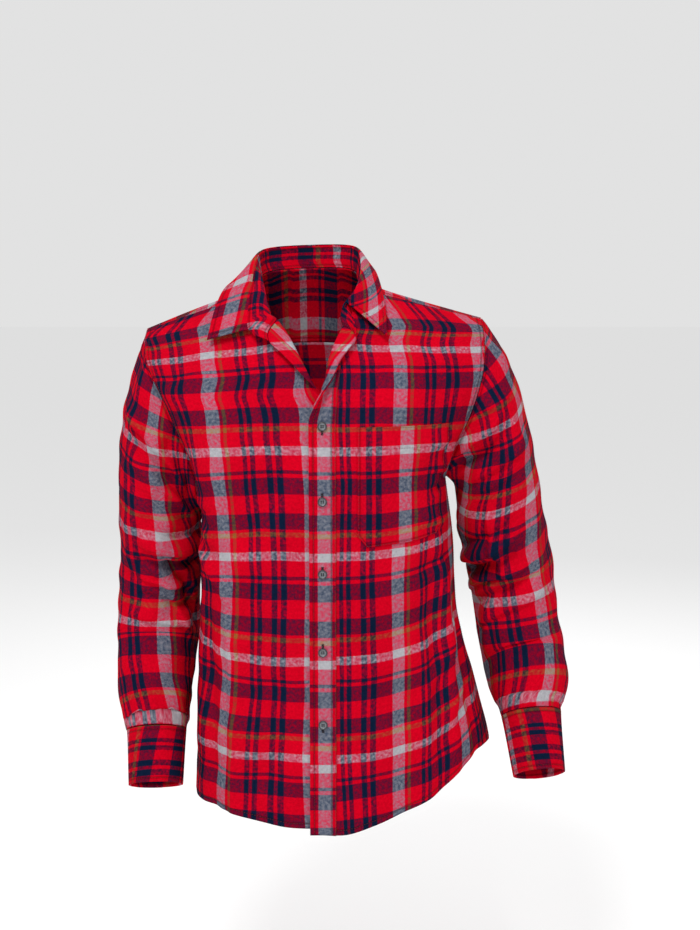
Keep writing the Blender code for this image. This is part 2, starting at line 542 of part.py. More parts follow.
# ---------------------------------------------------------------- sleeves and cuffs
def armhole_ring(side, front_levels, back_levels, shoulder):
    """The armhole from the underarm up the front, over the shoulder and down the back."""
    front = side.armhole(front_levels, "front")
    over = smooth(side.arm_yoke, np.linspace(0, 1, shoulder + 1))
    back = side.armhole(back_levels[::-1], "back")
    return np.concatenate([front, over[1:], back[1:]])


def ring_angles(ring):
    """Angle of each armhole point round the arm: 0 inner, pi/2 front, pi outer."""
    run = lengths(ring)
    top = int(np.argmax(ring[:, 2]))
    half = np.where(np.arange(len(ring)) <= top, run / run[top] * math.pi,
                    math.pi + (run - run[top]) / (run[-1] - run[top]) * math.pi)
    return half


class Limb:
    """A tube down one arm, through the rings of its table; the last two rings are the cuff's."""

    def __init__(self, table, sign):
        self.sign = sign
        self.fine = smooth(numbered(table), np.linspace(0, len(table) - 1, 400))
        self.run = lengths(self.fine[:, :3])
        self.slope = np.gradient(self.fine[:, :3], axis=0)
        self.cuff_at = np.interp(len(table) - 2, np.linspace(0, len(table) - 1, 400), self.run)
        self.wrist = (table[-2][3] + table[-2][4]) / 2

    def rings(self, angles, distances):
        """Rings square to the arm, at distances down it: angle 0 inner, pi/2 front, pi outer."""
        rings = []
        for distance in distances:
            here = np.array([np.interp(distance, self.run, values) for values in self.fine.T])
            axis = np.array([np.interp(distance, self.run, values) for values in self.slope.T])
            axis /= np.linalg.norm(axis)
            across = np.array([self.sign, 0.0, 0.0]) - axis * axis[0] * self.sign
            across /= np.linalg.norm(across)
            ahead = np.cross(axis, across) * self.sign
            rings.append(here[:3] - here[3] * np.cos(angles)[:, None] * across
                         + here[4] * np.sin(angles)[:, None] * ahead)
        return np.array(rings)


def sleeve_grid(side, limb, ring, rows_cap, rows_arm):
    """A sleeve: the cap from the armhole to the first ring, then rings down to the cuff."""
    angles = ring_angles(ring)
    down_arm = np.concatenate([np.linspace(0, 0.75, rows_arm - 3), np.linspace(0.75, 1, 5)[1:]])
    arm = limb.rings(angles, (limb.cuff_at - SLEEVE_END) * down_arm)
    outer = (1 - np.cos(angles)) / 2
    path = np.linalg.norm(arm[0] - ring, axis=1, keepdims=True)
    low, high, down = side.cap
    leave = path * np.stack([side.sign * (low + (high - low) * outer), -0.04 * np.sin(angles),
                             -down * outer], axis=1)
    arrive = path * (arm[1] - arm[0]) / np.linalg.norm(arm[1] - arm[0], axis=1, keepdims=True)
    cap = []
    for step in range(rows_cap):
        t = step / rows_cap
        cap.append(ring * (1 - 3 * t ** 2 + 2 * t ** 3) + arm[0] * (3 * t ** 2 - 2 * t ** 3)
                   + leave * (t ** 3 - 2 * t ** 2 + t) + arrive * (t ** 3 - t ** 2))
    grid = np.concatenate([np.array(cap), arm])
    place = np.concatenate([np.linspace(-0.45, 0, rows_cap + 1)[:-1], down_arm])
    turns = angles / (2 * math.pi)
    high = (fold_height(FOLDS_SLEEVE, turns[None], place[:, None])
            + fold_height(FOLDS_SLEEVE, turns[None] - 1, place[:, None]))
    return grid + grid_normals(grid) * high[:, :, None] * -side.sign


def cuff_grid(limb, columns, rows):
    """A cuff: a strip wrapped round the wrist, its end lapping over its start at the back."""
    lap = CUFF_OVERLAP / limb.wrist
    angles = LAP_ANGLE + np.linspace(0, 2 * math.pi + lap, columns + 1)
    grid = limb.rings(angles, np.linspace(limb.cuff_at + SLEEVE_END, limb.run[-1], rows + 1))
    out = grid - grid.mean(axis=1, keepdims=True)
    out /= np.linalg.norm(out, axis=2, keepdims=True)
    spread = ramp(2 * math.pi - 1.3 * lap, 2 * math.pi - 0.3 * lap, angles - LAP_ANGLE)
    return grid + out * (spread * LAYER * 1.2)[None, :, None]


def sleeve_band_grid(sleeve, angles, sign):
    """The placket above a cuff, from the sleeve's own points."""
    middle = int(np.argmin(np.abs(angles - LAP_ANGLE)))
    grid = layer_on(sleeve, -sign)[SLEEVE_BAND_ROWS:, middle - 1:middle + 3]
    return pull_in(grid, top=0.0025)


# ---------------------------------------------------------------- collar
def stand_grid(stations, rows):
    """The collar stand, from the neckline seam up to its top edge, its ends rounded."""
    table = smooth(numbered(STAND), stations)
    low, high = table[:, :3].copy(), table[:, 3:]
    last = len(STAND) - 1
    for number, station in enumerate(stations):
        if station < 1:
            low[number] = edge_point(RIGHT, np.interp(station, (0, 1), FLAP_TOP_RIGHT))
        elif station > last - 1:
            low[number] = edge_point(LEFT, np.interp(last - station, (0, 1), FLAP_TOP_LEFT))
    ends = np.minimum(stations, last - stations)
    rounding = 1 - 0.25 * (1 - ramp(0, 0.5, ends))
    shares = np.linspace(0, 1, rows + 1)
    grid = low[None] + (high - low)[None] * shares[:, None, None] * rounding[None, :, None]
    grid += np.sin(math.pi * shares)[:, None, None] * smooth(STAND_BOW, stations)[None]
    gap = smooth(STAND_GAP, stations)
    grid[0] += (grid[1] - grid[0]) * gap / clearance(grid[0], grid[1] - grid[0])
    return grid


def clearance(line, steps):
    """How far each step leads square away from a line of points."""
    ahead = np.gradient(line, axis=0)
    ahead /= np.linalg.norm(ahead, axis=1, keepdims=True)
    square = steps - (steps * ahead).sum(axis=1, keepdims=True) * ahead
    return np.linalg.norm(square, axis=1, keepdims=True)


def leaf_grid(stations, rows):
    """The collar leaf, from the fold at the stand's top down and out to its free edge."""
    top = smooth(numbered(STAND), stations)[:, 3:]
    table = smooth(LEAF, stations)
    edge, crown = table[:, :3], table[:, 3]
    up = np.array([0.0, 0.0, 1.0])
    stand = smooth(numbered(STAND), stations)
    rise = stand[:, 3:] - stand[:, :3]
    start = top + rise * LAYER / clearance(top, rise)
    peak = start + (edge - top) * 0.10 + up * crown[:, None]
    shares = np.linspace(0, 1, rows + 1) ** 1.3
    grid = [start * (1 - t) ** 2 + peak * 2 * t * (1 - t) + edge * t ** 2 for t in shares]
    return np.array(grid)


# ---------------------------------------------------------------- objects
def new_collection(name):
    collection = bpy.data.collections.new(name)
    bpy.context.scene.collection.children.link(collection)
    return collection


def new_material(name, colour, roughness):
    material = bpy.data.materials.new(name)
    material.use_nodes = True
    shader = material.node_tree.nodes["Principled BSDF"]
    shader.inputs["Base Color"].default_value = colour
    shader.inputs["Roughness"].default_value = roughness
    return material


def grid_mesh(name, grid, closed=False, flip=False):
    """A mesh of quads from a grid of points; closed joins the last column to the first."""
    rows, columns = grid.shape[:2]
    used = columns - 1 if closed else columns
    points = grid[:, :used].reshape(-1, 3)
    faces = []
    for row in range(rows - 1):
        for column in range(columns - 1):
            after = (column + 1) % used
            face = (row * used + column, row * used + after,
                    (row + 1) * used + after, (row + 1) * used + column)
            faces.append(face[::-1] if flip else face)
    mesh = bpy.data.meshes.new(name)
    mesh.from_pydata(points.tolist(), [], faces)
    mesh.shade_smooth()
    return mesh


def cloth_piece(name, grid, closed=False, flip=False, colour=CLOTH_COLOUR):
    """A cloth piece: an open sheet with a wall that stands half to each side."""
    piece = bpy.data.objects.new(name, grid_mesh(name, grid, closed, flip))
    COLLECTION.objects.link(piece)
    piece.data.materials.append(new_material(name, colour, 0.9))
    wall = piece.modifiers.new("wall", "SOLIDIFY")
    wall.thickness = CLOTH
    wall.offset = 0.0
    return piece


def turned(name, profile, steps, centre=(0.0, 0.0)):
    """A mesh turned round an upright axis from a profile of (radius, height)."""
    shape = bmesh.new()
    rings = []
    for radius, height in profile:
        count = 1 if radius == 0 else steps
        rings.append([shape.verts.new((centre[0] + radius * math.cos(2 * math.pi * k / steps),
                                       centre[1] + radius * math.sin(2 * math.pi * k / steps),
                                       height)) for k in range(count)])
    for low, high in zip(rings, rings[1:]):
        for k in range(steps):
            after = (k + 1) % steps
            corners = [low[k % len(low)], low[after % len(low)],
                       high[after % len(high)], high[k % len(high)]]
            shape.faces.new(list(dict.fromkeys(corners)))
    mesh = bpy.data.meshes.new(name)
    shape.to_mesh(mesh)
    shape.free()
    return mesh


def button(name, centre, normal, upright=(0.0, 0.0, 1.0)):
    """A round four-hole button with a raised rim, turned, then bored through."""
    rim, high = BUTTON_RADIUS, BUTTON_HEIGHT
    body = turned(name, ((0, 0), (0.84 * rim, 0), (rim, 0.40 * high), (0.93 * rim, high),
                         (0.62 * rim, 0.62 * high), (0, 0.62 * high)), 14)
    piece = bpy.data.objects.new(name, body)
    COLLECTION.objects.link(piece)
    body.materials.append(new_material(name, BUTTON_COLOUR, 0.4))
    outward = Vector(normal).normalized()
    across = Vector(upright).cross(outward).normalized()
    turn = Matrix((across, outward.cross(across), outward)).transposed().to_4x4()
    piece.matrix_world = Matrix.Translation(Vector(centre)) @ turn
    for number, (side, up) in enumerate(((-1, -1), (1, -1), (1, 1), (-1, 1))):
        drill = turned("drill", ((0, -high), (HOLE_RADIUS, -high), (HOLE_RADIUS, 2 * high),
                                 (0, 2 * high)), 5, (side * HOLE_SPACING, up * HOLE_SPACING))
        cutter = bpy.data.objects.new("drill_%s_%d" % (name, number), drill)
        CUTTERS.objects.link(cutter)
        cutter.matrix_world = piece.matrix_world
        bore = piece.modifiers.new("hole_%d" % number, "BOOLEAN")
        bore.operation, bore.solver, bore.object = "DIFFERENCE", "EXACT", cutter
    return piece


def front_levels(side):
    """Rows of a front: evenly up to the underarm, closer in the armhole, then at the neckline."""
    low = np.linspace(0.0, POCKET_BASE, 10)
    near = side.underarm + np.array((0.0, 0.0025, 0.009, 0.020, 0.036))
    last = [row[0] for row in side.front[-9:]]
    return np.concatenate([low, [POCKET_BASE + POCKET_CORNER, 0.418], near,
                           [0.508, POCKET_BASE + POCKET_HEIGHT, 0.547, 0.561, 0.575], last])


def back_levels(side):
    """Rows of the back at one side's armhole."""
    near = side.underarm + np.array((0.0, 0.0025, 0.009, 0.022, 0.040))
    return np.concatenate([near, [0.510, 0.540, 0.570, 0.600, 0.630]])


for thing in list(bpy.data.objects):
    bpy.data.objects.remove(thing, do_unlink=True)
COLLECTION = new_collection("flannel_shirt")
CUTTERS = new_collection("cutters")
CUTTERS.hide_render = True

SHOULDER_COLUMNS, BACK_COLUMNS, SIDE_COLUMNS = 4, 18, 3
fronts = {}
for label, side in (("right", RIGHT), ("left", LEFT)):
    fronts[label] = front_grid(side, front_levels(side), SIDE_COLUMNS)
    grid = pull_in(fronts[label], top=YOKE_SEAM, last=SEAM)
    cloth_piece("front_" + label, grid, flip=side.sign > 0)
levels = front_levels(LEFT)
band = layer_on(fronts["left"], LEFT.sign)[:-4, :BAND_COLUMNS + 1]
cloth_piece("button_band", band, flip=True)
cloth_piece("pocket", pocket_grid(fronts["left"], levels), flip=True)

back_rows = np.concatenate([np.linspace(0.0, RIGHT.underarm, 11)[:-1],
                            np.unique(np.round(np.concatenate([back_levels(RIGHT),
                                                               back_levels(LEFT)[:4]]), 4))])
cloth_piece("back", pull_in(back_grid(back_rows, BACK_COLUMNS), top=YOKE_SEAM, first=SEAM,
                            last=SEAM))
cloth_piece("yoke", pull_in(yoke_grid(SHOULDER_COLUMNS, BACK_COLUMNS, 5), top=YOKE_SEAM,
                            bottom=YOKE_SEAM, first=YOKE_SEAM, last=YOKE_SEAM), flip=True)
for label, side, table in (("right", RIGHT, LIMB_RIGHT), ("left", LEFT, LIMB_LEFT)):
    levels = front_levels(side)
    ring = armhole_ring(side, levels[levels >= side.underarm - 1e-6], back_levels(side),
                        SHOULDER_COLUMNS)
    limb = Limb(table, side.sign)
    sleeve = sleeve_grid(side, limb, ring, CAP_ROWS, ARM_ROWS)
    angles = ring_angles(ring)
    gap = np.interp(np.cos(angles), (0.5, 1.0), ARMHOLE_SEAM)
    cloth_piece("sleeve_" + label, pull_in(sleeve, bottom=gap), closed=True, flip=side.sign > 0)
    cloth_piece("sleeve_band_" + label, sleeve_band_grid(sleeve, angles, side.sign),
                flip=side.sign > 0)
    cuff = cuff_grid(limb, 32, 2)
    cloth_piece("cuff_" + label, cuff, flip=side.sign > 0)
    out = -grid_normals(cuff)[1, -2] * side.sign
    button("button_cuff_" + label, cuff[1, -2] + out * SEAT, out)

stand_places = np.concatenate([[0, 0.375, 0.694, 1, 1.5, 2, 2.5],
                               yoke_stations(SHOULDER_COLUMNS, BACK_COLUMNS),
                               [12, 12.4, 12.75, 13, 13.2, 13.5, 14]])
stand = stand_grid(stand_places, 3)
cloth_piece("collar_stand", stand, flip=True)
leaf_places = [place for place in stand_places if LEAF[0][0] < place < LEAF[-1][0] - 0.1]
leaf_places = np.concatenate([LEAF[0][:1], leaf_places, LEAF[-1][:1]])
cloth_piece("collar_leaf", leaf_grid(leaf_places, 6), flip=True)

out = np.cross(stand[2, 2] - stand[1, 2], stand[1, 2] - stand[1, 1])
out = Vector(out).normalized() * HIDDEN_SEAT
button("button_stand", Vector(stand[1, 1] * 0.55 + stand[2, 2] * 0.45) + out, out)
flap, row = fronts["right"], int(np.argmin(np.abs(front_levels(RIGHT) - HIDDEN_BUTTON)))
out = grid_normals(flap)[row, 1] * RIGHT.sign
button("button_0", flap[row, 1] + out * SEAT, out)
middle = band[:, BAND_COLUMNS // 2]
normals = grid_normals(band)[:, BAND_COLUMNS // 2]
for number, height in enumerate(BUTTON_HEIGHTS):
    centre = np.array([np.interp(height, middle[:, 2], values) for values in middle.T])
    normal = np.array([np.interp(height, middle[:, 2], values) for values in normals.T])
    button("button_%d" % (number + 1), centre + normal * SEAT, normal)
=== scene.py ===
"""Looks of the flannel shirt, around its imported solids.

Frame: metres, +Z up, the front faces -Y, +X is the wearer's left. The tables, in millimetres, and the
shape functions repeat those of the solids, so each cloth piece lies in its own solid's form, with its
creases added. Cloth coordinates: q runs up the cloth from the front hem (the weft lies along constant q),
and p runs round the body from the centre front.
"""
import math

import bmesh
import bpy
import numpy as np
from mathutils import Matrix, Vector
from mathutils.bvhtree import BVHTree


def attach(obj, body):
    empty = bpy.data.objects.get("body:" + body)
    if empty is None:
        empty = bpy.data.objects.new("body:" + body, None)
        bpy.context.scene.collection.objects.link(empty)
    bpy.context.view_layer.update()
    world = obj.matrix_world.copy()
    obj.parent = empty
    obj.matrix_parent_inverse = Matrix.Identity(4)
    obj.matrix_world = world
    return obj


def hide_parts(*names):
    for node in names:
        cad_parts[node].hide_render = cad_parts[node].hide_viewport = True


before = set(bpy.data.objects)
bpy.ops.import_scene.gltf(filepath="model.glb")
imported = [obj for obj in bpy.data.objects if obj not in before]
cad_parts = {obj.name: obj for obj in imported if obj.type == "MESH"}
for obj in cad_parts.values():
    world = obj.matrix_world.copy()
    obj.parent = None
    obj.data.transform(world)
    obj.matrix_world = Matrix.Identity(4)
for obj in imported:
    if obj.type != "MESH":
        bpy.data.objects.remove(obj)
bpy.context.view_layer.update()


def metres(rows, plain=()):
    """A table in metres from rows in millimetres. plain: columns that aren't lengths."""
    table = np.array(rows, float)
    scale = np.full(table.shape[1], 1000.0)
    scale[list(plain)] = 1.0
    return table / scale


# ---------------------------------------------------------------- driving dimensions, metres
LAYER = 0.0019              # from the middle of one layer to the middle of the next
SEAM = 0.00015              # each edge's distance from its seam line
ARMHOLE_SEAM = (0.0011, 0.0016)     # the sleeve's distance from the armhole: at its top, underarm
YOKE_SEAM = 0.00045         # the yoke's distance from its back and front seams
BAND_WIDTH = 0.033          # the button-through band on the left front
BAND_TOP = 0.657            # q of the band's upper end
ROLL_RADIUS = 0.0035        # soft turn where a front edge folds back over the chest
HEM_BLEND = 0.25            # height over which rows turn from the curved hem to the weft
BUTTON_RADIUS = 0.0058
SEAT = 0.0015               # a button's base, from the middle of the cloth under it
BUTTON_HEIGHT = 0.0026
HOLE_RADIUS = 0.0007
HOLE_SPACING = 0.0012       # each hole's distance from the button's two middle lines
POCKET_WIDTH = 0.124
POCKET_HEIGHT = 0.148
POCKET_CORNER = 0.015       # chamfer at the pocket's two lower corners
POCKET_BASE = 0.381         # q of the pocket's lower edge
POCKET_FROM_BAND = 0.026    # bare cloth between the band and the pocket
CUFF_OVERLAP = 0.022
LAP_ANGLE = 1.35 * math.pi  # where a cuff closes: 0 inner, pi/2 front, pi outer
SLEEVE_END = 0.0005         # a sleeve's and a cuff's distance from the seam between them
SLEEVE_BAND_WIDTH = 0.028
WALL, DOUBLE_WALL, LEAF_WALL = 0.0013, 0.0017, 0.0018   # cloth: single, cuffs and stand, collar leaf
BEYOND_SIDE = 0.30          # how far a front's rows are carried on past the side, to even them out

# ---------------------------------------------------------------- neckline, collar
# Stations round the neck, from the right end of the stand to its left end.
# columns: seam x, y, z (the stand's lower edge), top x, y, z (the stand's upper edge)
STAND_MM = (
    (-51.9, -91.5, -69, -77.5, -87.5, -64), (-51.2, -70, -41.3, -80, -75.5, -49),
    (-57.4, -55, -28.9, -79, -48, -16.5), (-64.2, -40, -14.5, -77.2, -26, 1),
    (-69.5, -10, -1, -75.5, 3, 26), (-67, 22, 10, -70.5, 30, 40), (-50, 50, 17, -52, 55, 47),
    (-7, 67, 20.5, -7, 69, 50.5), (37, 50, 20, 38, 55, 50), (53, 22, 14.5, 55.5, 29, 44.5),
    (56, -10, 5, 60, 2, 32.5), (57.5, -38, -8.5, 60.5, -26, 14), (50, -60, -29, 54.5, -52, -8),
    (42.5, -79, -53, 38.5, -74, -30), (53.5, -90, -61, 48, -88, -33),
)
STAND = metres(STAND_MM)
NECK_RIGHT, NECK_LEFT = 3, 11       # stations where the yoke's front seams meet the neckline
# The leaf's outer edge. columns: stand station, edge x, y, z, crown (how far the fold stands up)
LEAF = metres((
    (0.35, -129.7, -80, -71.5, 2), (1.6, -122.5, -51, -34.5, 4), (3.6, -108, -2, -1.5, 6),
    (4.8, -90, 40, 10, 7), (6, -62, 83, 5, 8), (7, -6, 100, 2, 8), (8, 48, 84, 8, 8), (9.2, 74, 44, 16, 7),
    (10.3, 80, 2, 13, 6), (11.6, 90, -53, -26.5, 5), (12.75, 92.2, -95, -66.5, 2),
), plain=(0,))

# ---------------------------------------------------------------- fronts
# columns: q, fold line x, y, z, p of the fold line, strip (cloth past it), curl (degrees that the
#          strip is rolled back), roundness of the row, lift of the row
FRONT_RIGHT = metres((
    (-30, 13, -120, -730, 0, 16.5, 0, 2.9, 2.6), (98, 13, -112, -608.4, 0, 16.5, 0, 3, 2.6),
    (232, 13, -113, -473.6, 0, 16.5, 0, 2.7, 2.6), (369, 13, -120, -336.6, 0, 16.5, 0, 3.3, 2.4),
    (455, 13, -124, -251, 0, 16.5, 0, 3.7, 2), (500, 13, -123, -206, 0, 16.5, 0, 3.5, 1.8),
    (535, 13, -119.5, -171, 0, 16.5, 0, 3.3, 1.6), (556, 11.5, -113.5, -151.5, -4, 12.5, 0, 3.1, 1.5),
    (568, 6.2, -111.2, -139, -8, 8.5, 12, 2.9, 1.45), (578, 1, -109, -129.5, -7, 9.5, 75, 2.7, 1.45),
    (590, -5.5, -106, -117.5, -1, 15.5, 118, 2.4, 1.4), (606, -13, -100.5, -102.7, 4, 20.5, 142, 2.2, 1.35),
    (622.5, -20.8, -93, -87.8, 10, 26.5, 162, 1.9, 1.3),
    (640, -29.5, -85.5, -71.7, 18.5, 34, 168, 1.8, 1.25), (653.5, -36.9, -80, -59.6, 23, 27, 168, 1.6, 1.2),
    (665, -44.7, -74.5, -50, 27, 11, 160, 1.5, 1.2), (676, *STAND_MM[1][:3], 31, -0.6, 150, 1.4, 1.15),
    (692, *STAND_MM[2][:3], 45, -0.9, 0, 1.2, 1.15), (710, *STAND_MM[3][:3], 64, -0.9, 0, 1.1, 1.15),
), plain=(6, 7, 8))
FRONT_LEFT = metres((
    (-30, 13, -122.2, -730, 0, 16.5, 0, 2.5, 2.2), (98, 13, -114.2, -608.4, 0, 16.5, 0, 2.5, 2.2),
    (232, 13, -115.2, -473.6, 0, 16.5, 0, 2.4, 2.4), (369, 13, -122.2, -336.6, 0, 16.5, 0, 2.3, 3),
    (455, 13, -126.2, -251, 0, 16.5, 0, 2.3, 2.2), (500, 13, -125.2, -206, 0, 16.5, 0, 2.3, 1.8),
    (535, 13, -122.8, -171, 0, 16.5, 0, 2.2, 1.6), (556, 14.3, -120.5, -150, 0, 16.5, 50, 2.2, 1.5),
    (575, 16, -115.5, -132, 1, 17.5, 95, 2.1, 1.4), (593, 20.8, -108, -114.5, 3, 19.5, 130, 2, 1.3),
    (610, 24.2, -100, -96, 5.5, 22, 158, 1.9, 1.25), (625, 28.8, -95, -82.2, 10.5, 27, 166, 1.9, 1.2),
    (642, 34.5, -89, -69, 14.5, 31, 168, 1.7, 1.15), (657, 39.5, -82.5, -59, 14.5, 19, 165, 1.6, 1.1),
    (666, 41.5, -80, -55, 14.8, 8, 155, 1.5, 1.08), (672, *STAND_MM[13][:3], 15, -0.6, 140, 1.4, 1.05),
    (690, *STAND_MM[12][:3], 30, -0.9, 0, 1.2, 1), (710, *STAND_MM[11][:3], 52, -0.9, 0, 1.1, 1),
), plain=(6, 7, 8))
# q at which each flap's top edge, sewn to the stand's end, starts and stops
FLAP_TOP_RIGHT, FLAP_TOP_LEFT = (0.640, 0.676), (0.642, 0.672)
# Gap left under the stand, wider where it leans over its neighbour. columns: station, gap
STAND_GAP = metres((
    (0, 0.9), (1, 1.2), (2, 1.4), (3, 1.4), (5, 1.1), (9, 1.1), (12, 1.3), (13, 1.1), (14, 0.9),
), plain=(0,))
# How far the stand bows out between its edges. columns: station, x, y, z
STAND_BOW = metres((
    (0, 0, -2, 1), (1, 5, -6, 5), (2, 7, -6, 7), (3, 7, -3, 6), (4.5, 1, 0, 0), (11, 0, 0, 0),
    (12, -2, 0, 0), (13, -3, 1, 0), (14, 1, -3, 0),
), plain=(0,))

# ---------------------------------------------------------------- side seams and armholes
# columns: q, x, y, z, from below the hem up to the underarm
SIDE_RIGHT = metres((
    (-30, -158, 35, -725), (98, -159, 25, -599), (232, -153, 15, -460), (369, -146.5, 10, -350),
    (440, -146.5, 5, -276),
))
SIDE_LEFT = metres((
    (-30, 242, 26, -672), (40, 234, 22, -607), (98, 219, 16, -547.6), (232, 189, 8, -436.4),
    (369, 179.5, 4, -318), (453, 170, 2, -251),
))
# From the underarm, up the front of the armhole, to the yoke's front seam
ARM_FRONT_RIGHT = metres((
    (440, -146.5, 5, -276), (441.5, -146.5, -8, -274.5), (448, -147, -21, -268), (465, -149.5, -34, -250),
    (495, -160, -46, -215), (526, -173.5, -52, -183), (560, -188, -51, -150), (595, -202.5, -44, -122),
    (630, -212, -35, -99), (670, -215.5, -22, -76), (710, -214, -11.5, -61),
))
ARM_FRONT_LEFT = metres((
    (453, 170, 2, -251), (454.8, 170.2, -11, -249.2), (461, 171.2, -24, -242), (477, 175.2, -36, -225),
    (502, 184, -46, -199), (528, 195, -52, -175), (560, 206, -55, -144), (595, 215, -48, -111),
    (630, 217.5, -37, -85), (670, 217, -23, -62), (710, 214.8, -10, -47.5),
))
# From the underarm, up the back of the armhole, to the yoke's back seam
ARM_BACK_RIGHT = metres((
    (440, -146.5, 5, -276), (441.5, -146.5, 18, -274.5), (449, -147.5, 31, -267), (470, -152.5, 46, -245),
    (505, -164, 61, -210), (545, -178, 69, -174), (590, -192, 74, -137), (630, -203, 72, -108),
))
ARM_BACK_LEFT = metres((
    (453, 170, 2, -251), (455, 170.5, 18, -248), (462, 172.5, 33, -240), (480, 177.5, 47, -220),
    (510, 186, 59, -190), (545, 195, 68, -161), (590, 204, 74, -124), (630, 209.5, 72, -96),
))
# Over the shoulder, from the yoke's front seam to its back seam. columns: share of the way, x, y, z
ARM_YOKE_RIGHT = metres((
    (0, -214, -11.5, -61), (0.25, -216.5, 8, -60), (0.55, -213, 38, -74), (1, -203, 72, -108),
), plain=(0,))
ARM_YOKE_LEFT = metres((
    (0, 214.8, -10, -47.5), (0.25, 217, 10, -46), (0.55, 215.5, 38, -60), (1, 209.5, 72, -96),
), plain=(0,))

# ---------------------------------------------------------------- back
# columns: q, centre back x, y, z, roundness of the row, lift of the row
BACK = metres((
    (-40, 30, 140, -740, 2.5, 2.4), (98, 27, 133, -605, 2.5, 2.4), (232, 19, 121, -470, 2.4, 2.4),
    (369, 14, 116, -334, 2.3, 2.2), (440, 10, 122, -264, 2.4, 2), (500, 6, 127, -206, 2.4, 1.8),
    (560, 2, 125, -147, 2.3, 1.8), (600, -1, 118, -108, 2.3, 1.7), (630, -3, 109, -79, 2.2, 1.7),
), plain=(4, 5))
# The cut of the hem. columns: share of the way from the centre to the side seam, q
HEM_RIGHT = metres((
    (0, 16), (0.2, 18), (0.35, 25), (0.47, 29), (0.6, 27), (0.8, 25), (1, 28),
), plain=(0,))
HEM_LEFT = metres((
    (0, 9), (0.1, 8), (0.2, 16), (0.31, 23), (0.49, 32), (0.61, 43), (0.73, 50), (0.86, 44), (1, 34),
), plain=(0,))
HEM_BACK = metres((
    (0, -16), (0.45, -10), (0.75, 8), (1, 30),
), plain=(0,))
YOKE_CROWN_RIGHT, YOKE_CROWN_BACK, YOKE_CROWN_LEFT = 0.007, 0.005, 0.001
FRONT_TOP, BACK_TOP = FRONT_RIGHT[-1][0], BACK[-1][0]   # q of the yoke's front and back seams

# ---------------------------------------------------------------- sleeves and cuffs
# Rings down the arm; the last two are the cuff's. columns: centre x, y, z, half width, half depth
LIMB_RIGHT = metres((
    (-208.3, 22, -318.7, 52.5, 64.6), (-211.3, 45, -380.7, 53.4, 62), (-216.5, 52, -458.5, 55.1, 60.2),
    (-217.3, 36, -504.6, 52.9, 56.9), (-216.7, 14, -545.6, 48.5, 51.6), (-212.6, -9, -579.3, 43.2, 45.7),
    (-210.9, -18, -591.2, 38.5, 41.6), (-208.4, -50, -654.4, 34.6, 38.1),
))
LIMB_LEFT = metres((
    (249.3, 24, -318.6, 57.5, 64.6), (264.6, 45, -380.7, 56.4, 62), (279.9, 46, -479.2, 56, 60.1),
    (287.1, 22, -526.9, 52.9, 55.7), (288.9, 6, -554.4, 46.9, 49.9), (289.8, -6, -573, 39.2, 42.7),
    (295.7, -46, -640.9, 33.3, 37.1),
))
# How a sleeve leaves its armhole, in lengths of its path.
# columns: outward at the underarm, outward at the shoulder, down at the shoulder
CAP_RIGHT, CAP_LEFT = (0.90, 0.24, 0.90), (0.90, 0.60, 0.62)


# ---------------------------------------------------------------- curves
def smooth(table, at):
    """The rows of a table as one smooth curve: first column the key, the rest the values."""
    rows = np.array(table, float)
    keys, values = rows[:, 0], rows[:, 1:]
    slopes = np.gradient(values, keys, axis=0)
    at = np.clip(np.asarray(at, float), keys[0], keys[-1])
    low = np.clip(np.searchsorted(keys, at, side="right") - 1, 0, len(keys) - 2)
    span = (keys[low + 1] - keys[low])[..., None]
    t = (at[..., None] - keys[low][..., None]) / span
    start, end = values[low], values[low + 1]
    bend = (t ** 3 - 2 * t ** 2 + t) * slopes[low] + (t ** 3 - t ** 2) * slopes[low + 1]
    return start + (end - start) * (3 * t ** 2 - 2 * t ** 3) + bend * span


def numbered(rows):
    """Puts a row's number in front of it, as the key for smooth."""
    return [(number,) + tuple(row) for number, row in enumerate(rows)]


def unit(vectors):
    """Vectors made one long."""
    return vectors / np.linalg.norm(vectors, axis=-1, keepdims=True)


def pair(first, second):
    """Two fields side by side, such as the two coordinates of each point of a cloth."""
    return np.stack(np.broadcast_arrays(first, second), axis=-1)


def columns_at(at, run, table):
    """Each column of a table read at the places given along its run."""
    return np.stack([np.interp(at, run, column) for column in np.transpose(table)], axis=-1)


def lengths(points):
    """Distance along a line of points, from its first."""
    steps = np.linalg.norm(np.diff(points, axis=0), axis=1)
    return np.concatenate(([0.0], np.cumsum(steps)))


def along(points, distances):
    """Points of a line at the distances given along it."""
    return columns_at(distances, lengths(points), points)


def evenly(points, count):
    """Points of a line at even distances along it."""
    return along(points, np.linspace(0, 1, count) * lengths(points)[-1])


def ramp(low, high, value):
    """Rises softly from 0 at low to 1 at high."""
    t = np.clip((value - low) / (high - low), 0.0, 1.0)
    return t * t * (3 - 2 * t)


def grid_normals(grid):
    """Unit normals of a grid of points, columns crossed with rows."""
    normal = np.cross(np.gradient(grid, axis=1), np.gradient(grid, axis=0))
    return normal / np.maximum(np.linalg.norm(normal, axis=2, keepdims=True), 1e-9)


def pull_in(grid, top=0.0, bottom=0.0, first=0.0, last=0.0):
    """Draws a grid's outer rows and columns in from their seam lines by the distances given."""
    grid = grid.copy()
    for view, gap, edge, inner in ((grid, top, -1, -2), (grid, bottom, 0, 1),
                                   (grid.swapaxes(0, 1), first, 0, 1), (grid.swapaxes(0, 1), last, -1, -2)):
        if np.any(gap):
            step = view[inner] - view[edge]
            view[edge] += step * np.minimum(gap / np.linalg.norm(step, axis=1), 0.5)[:, None]
    return grid


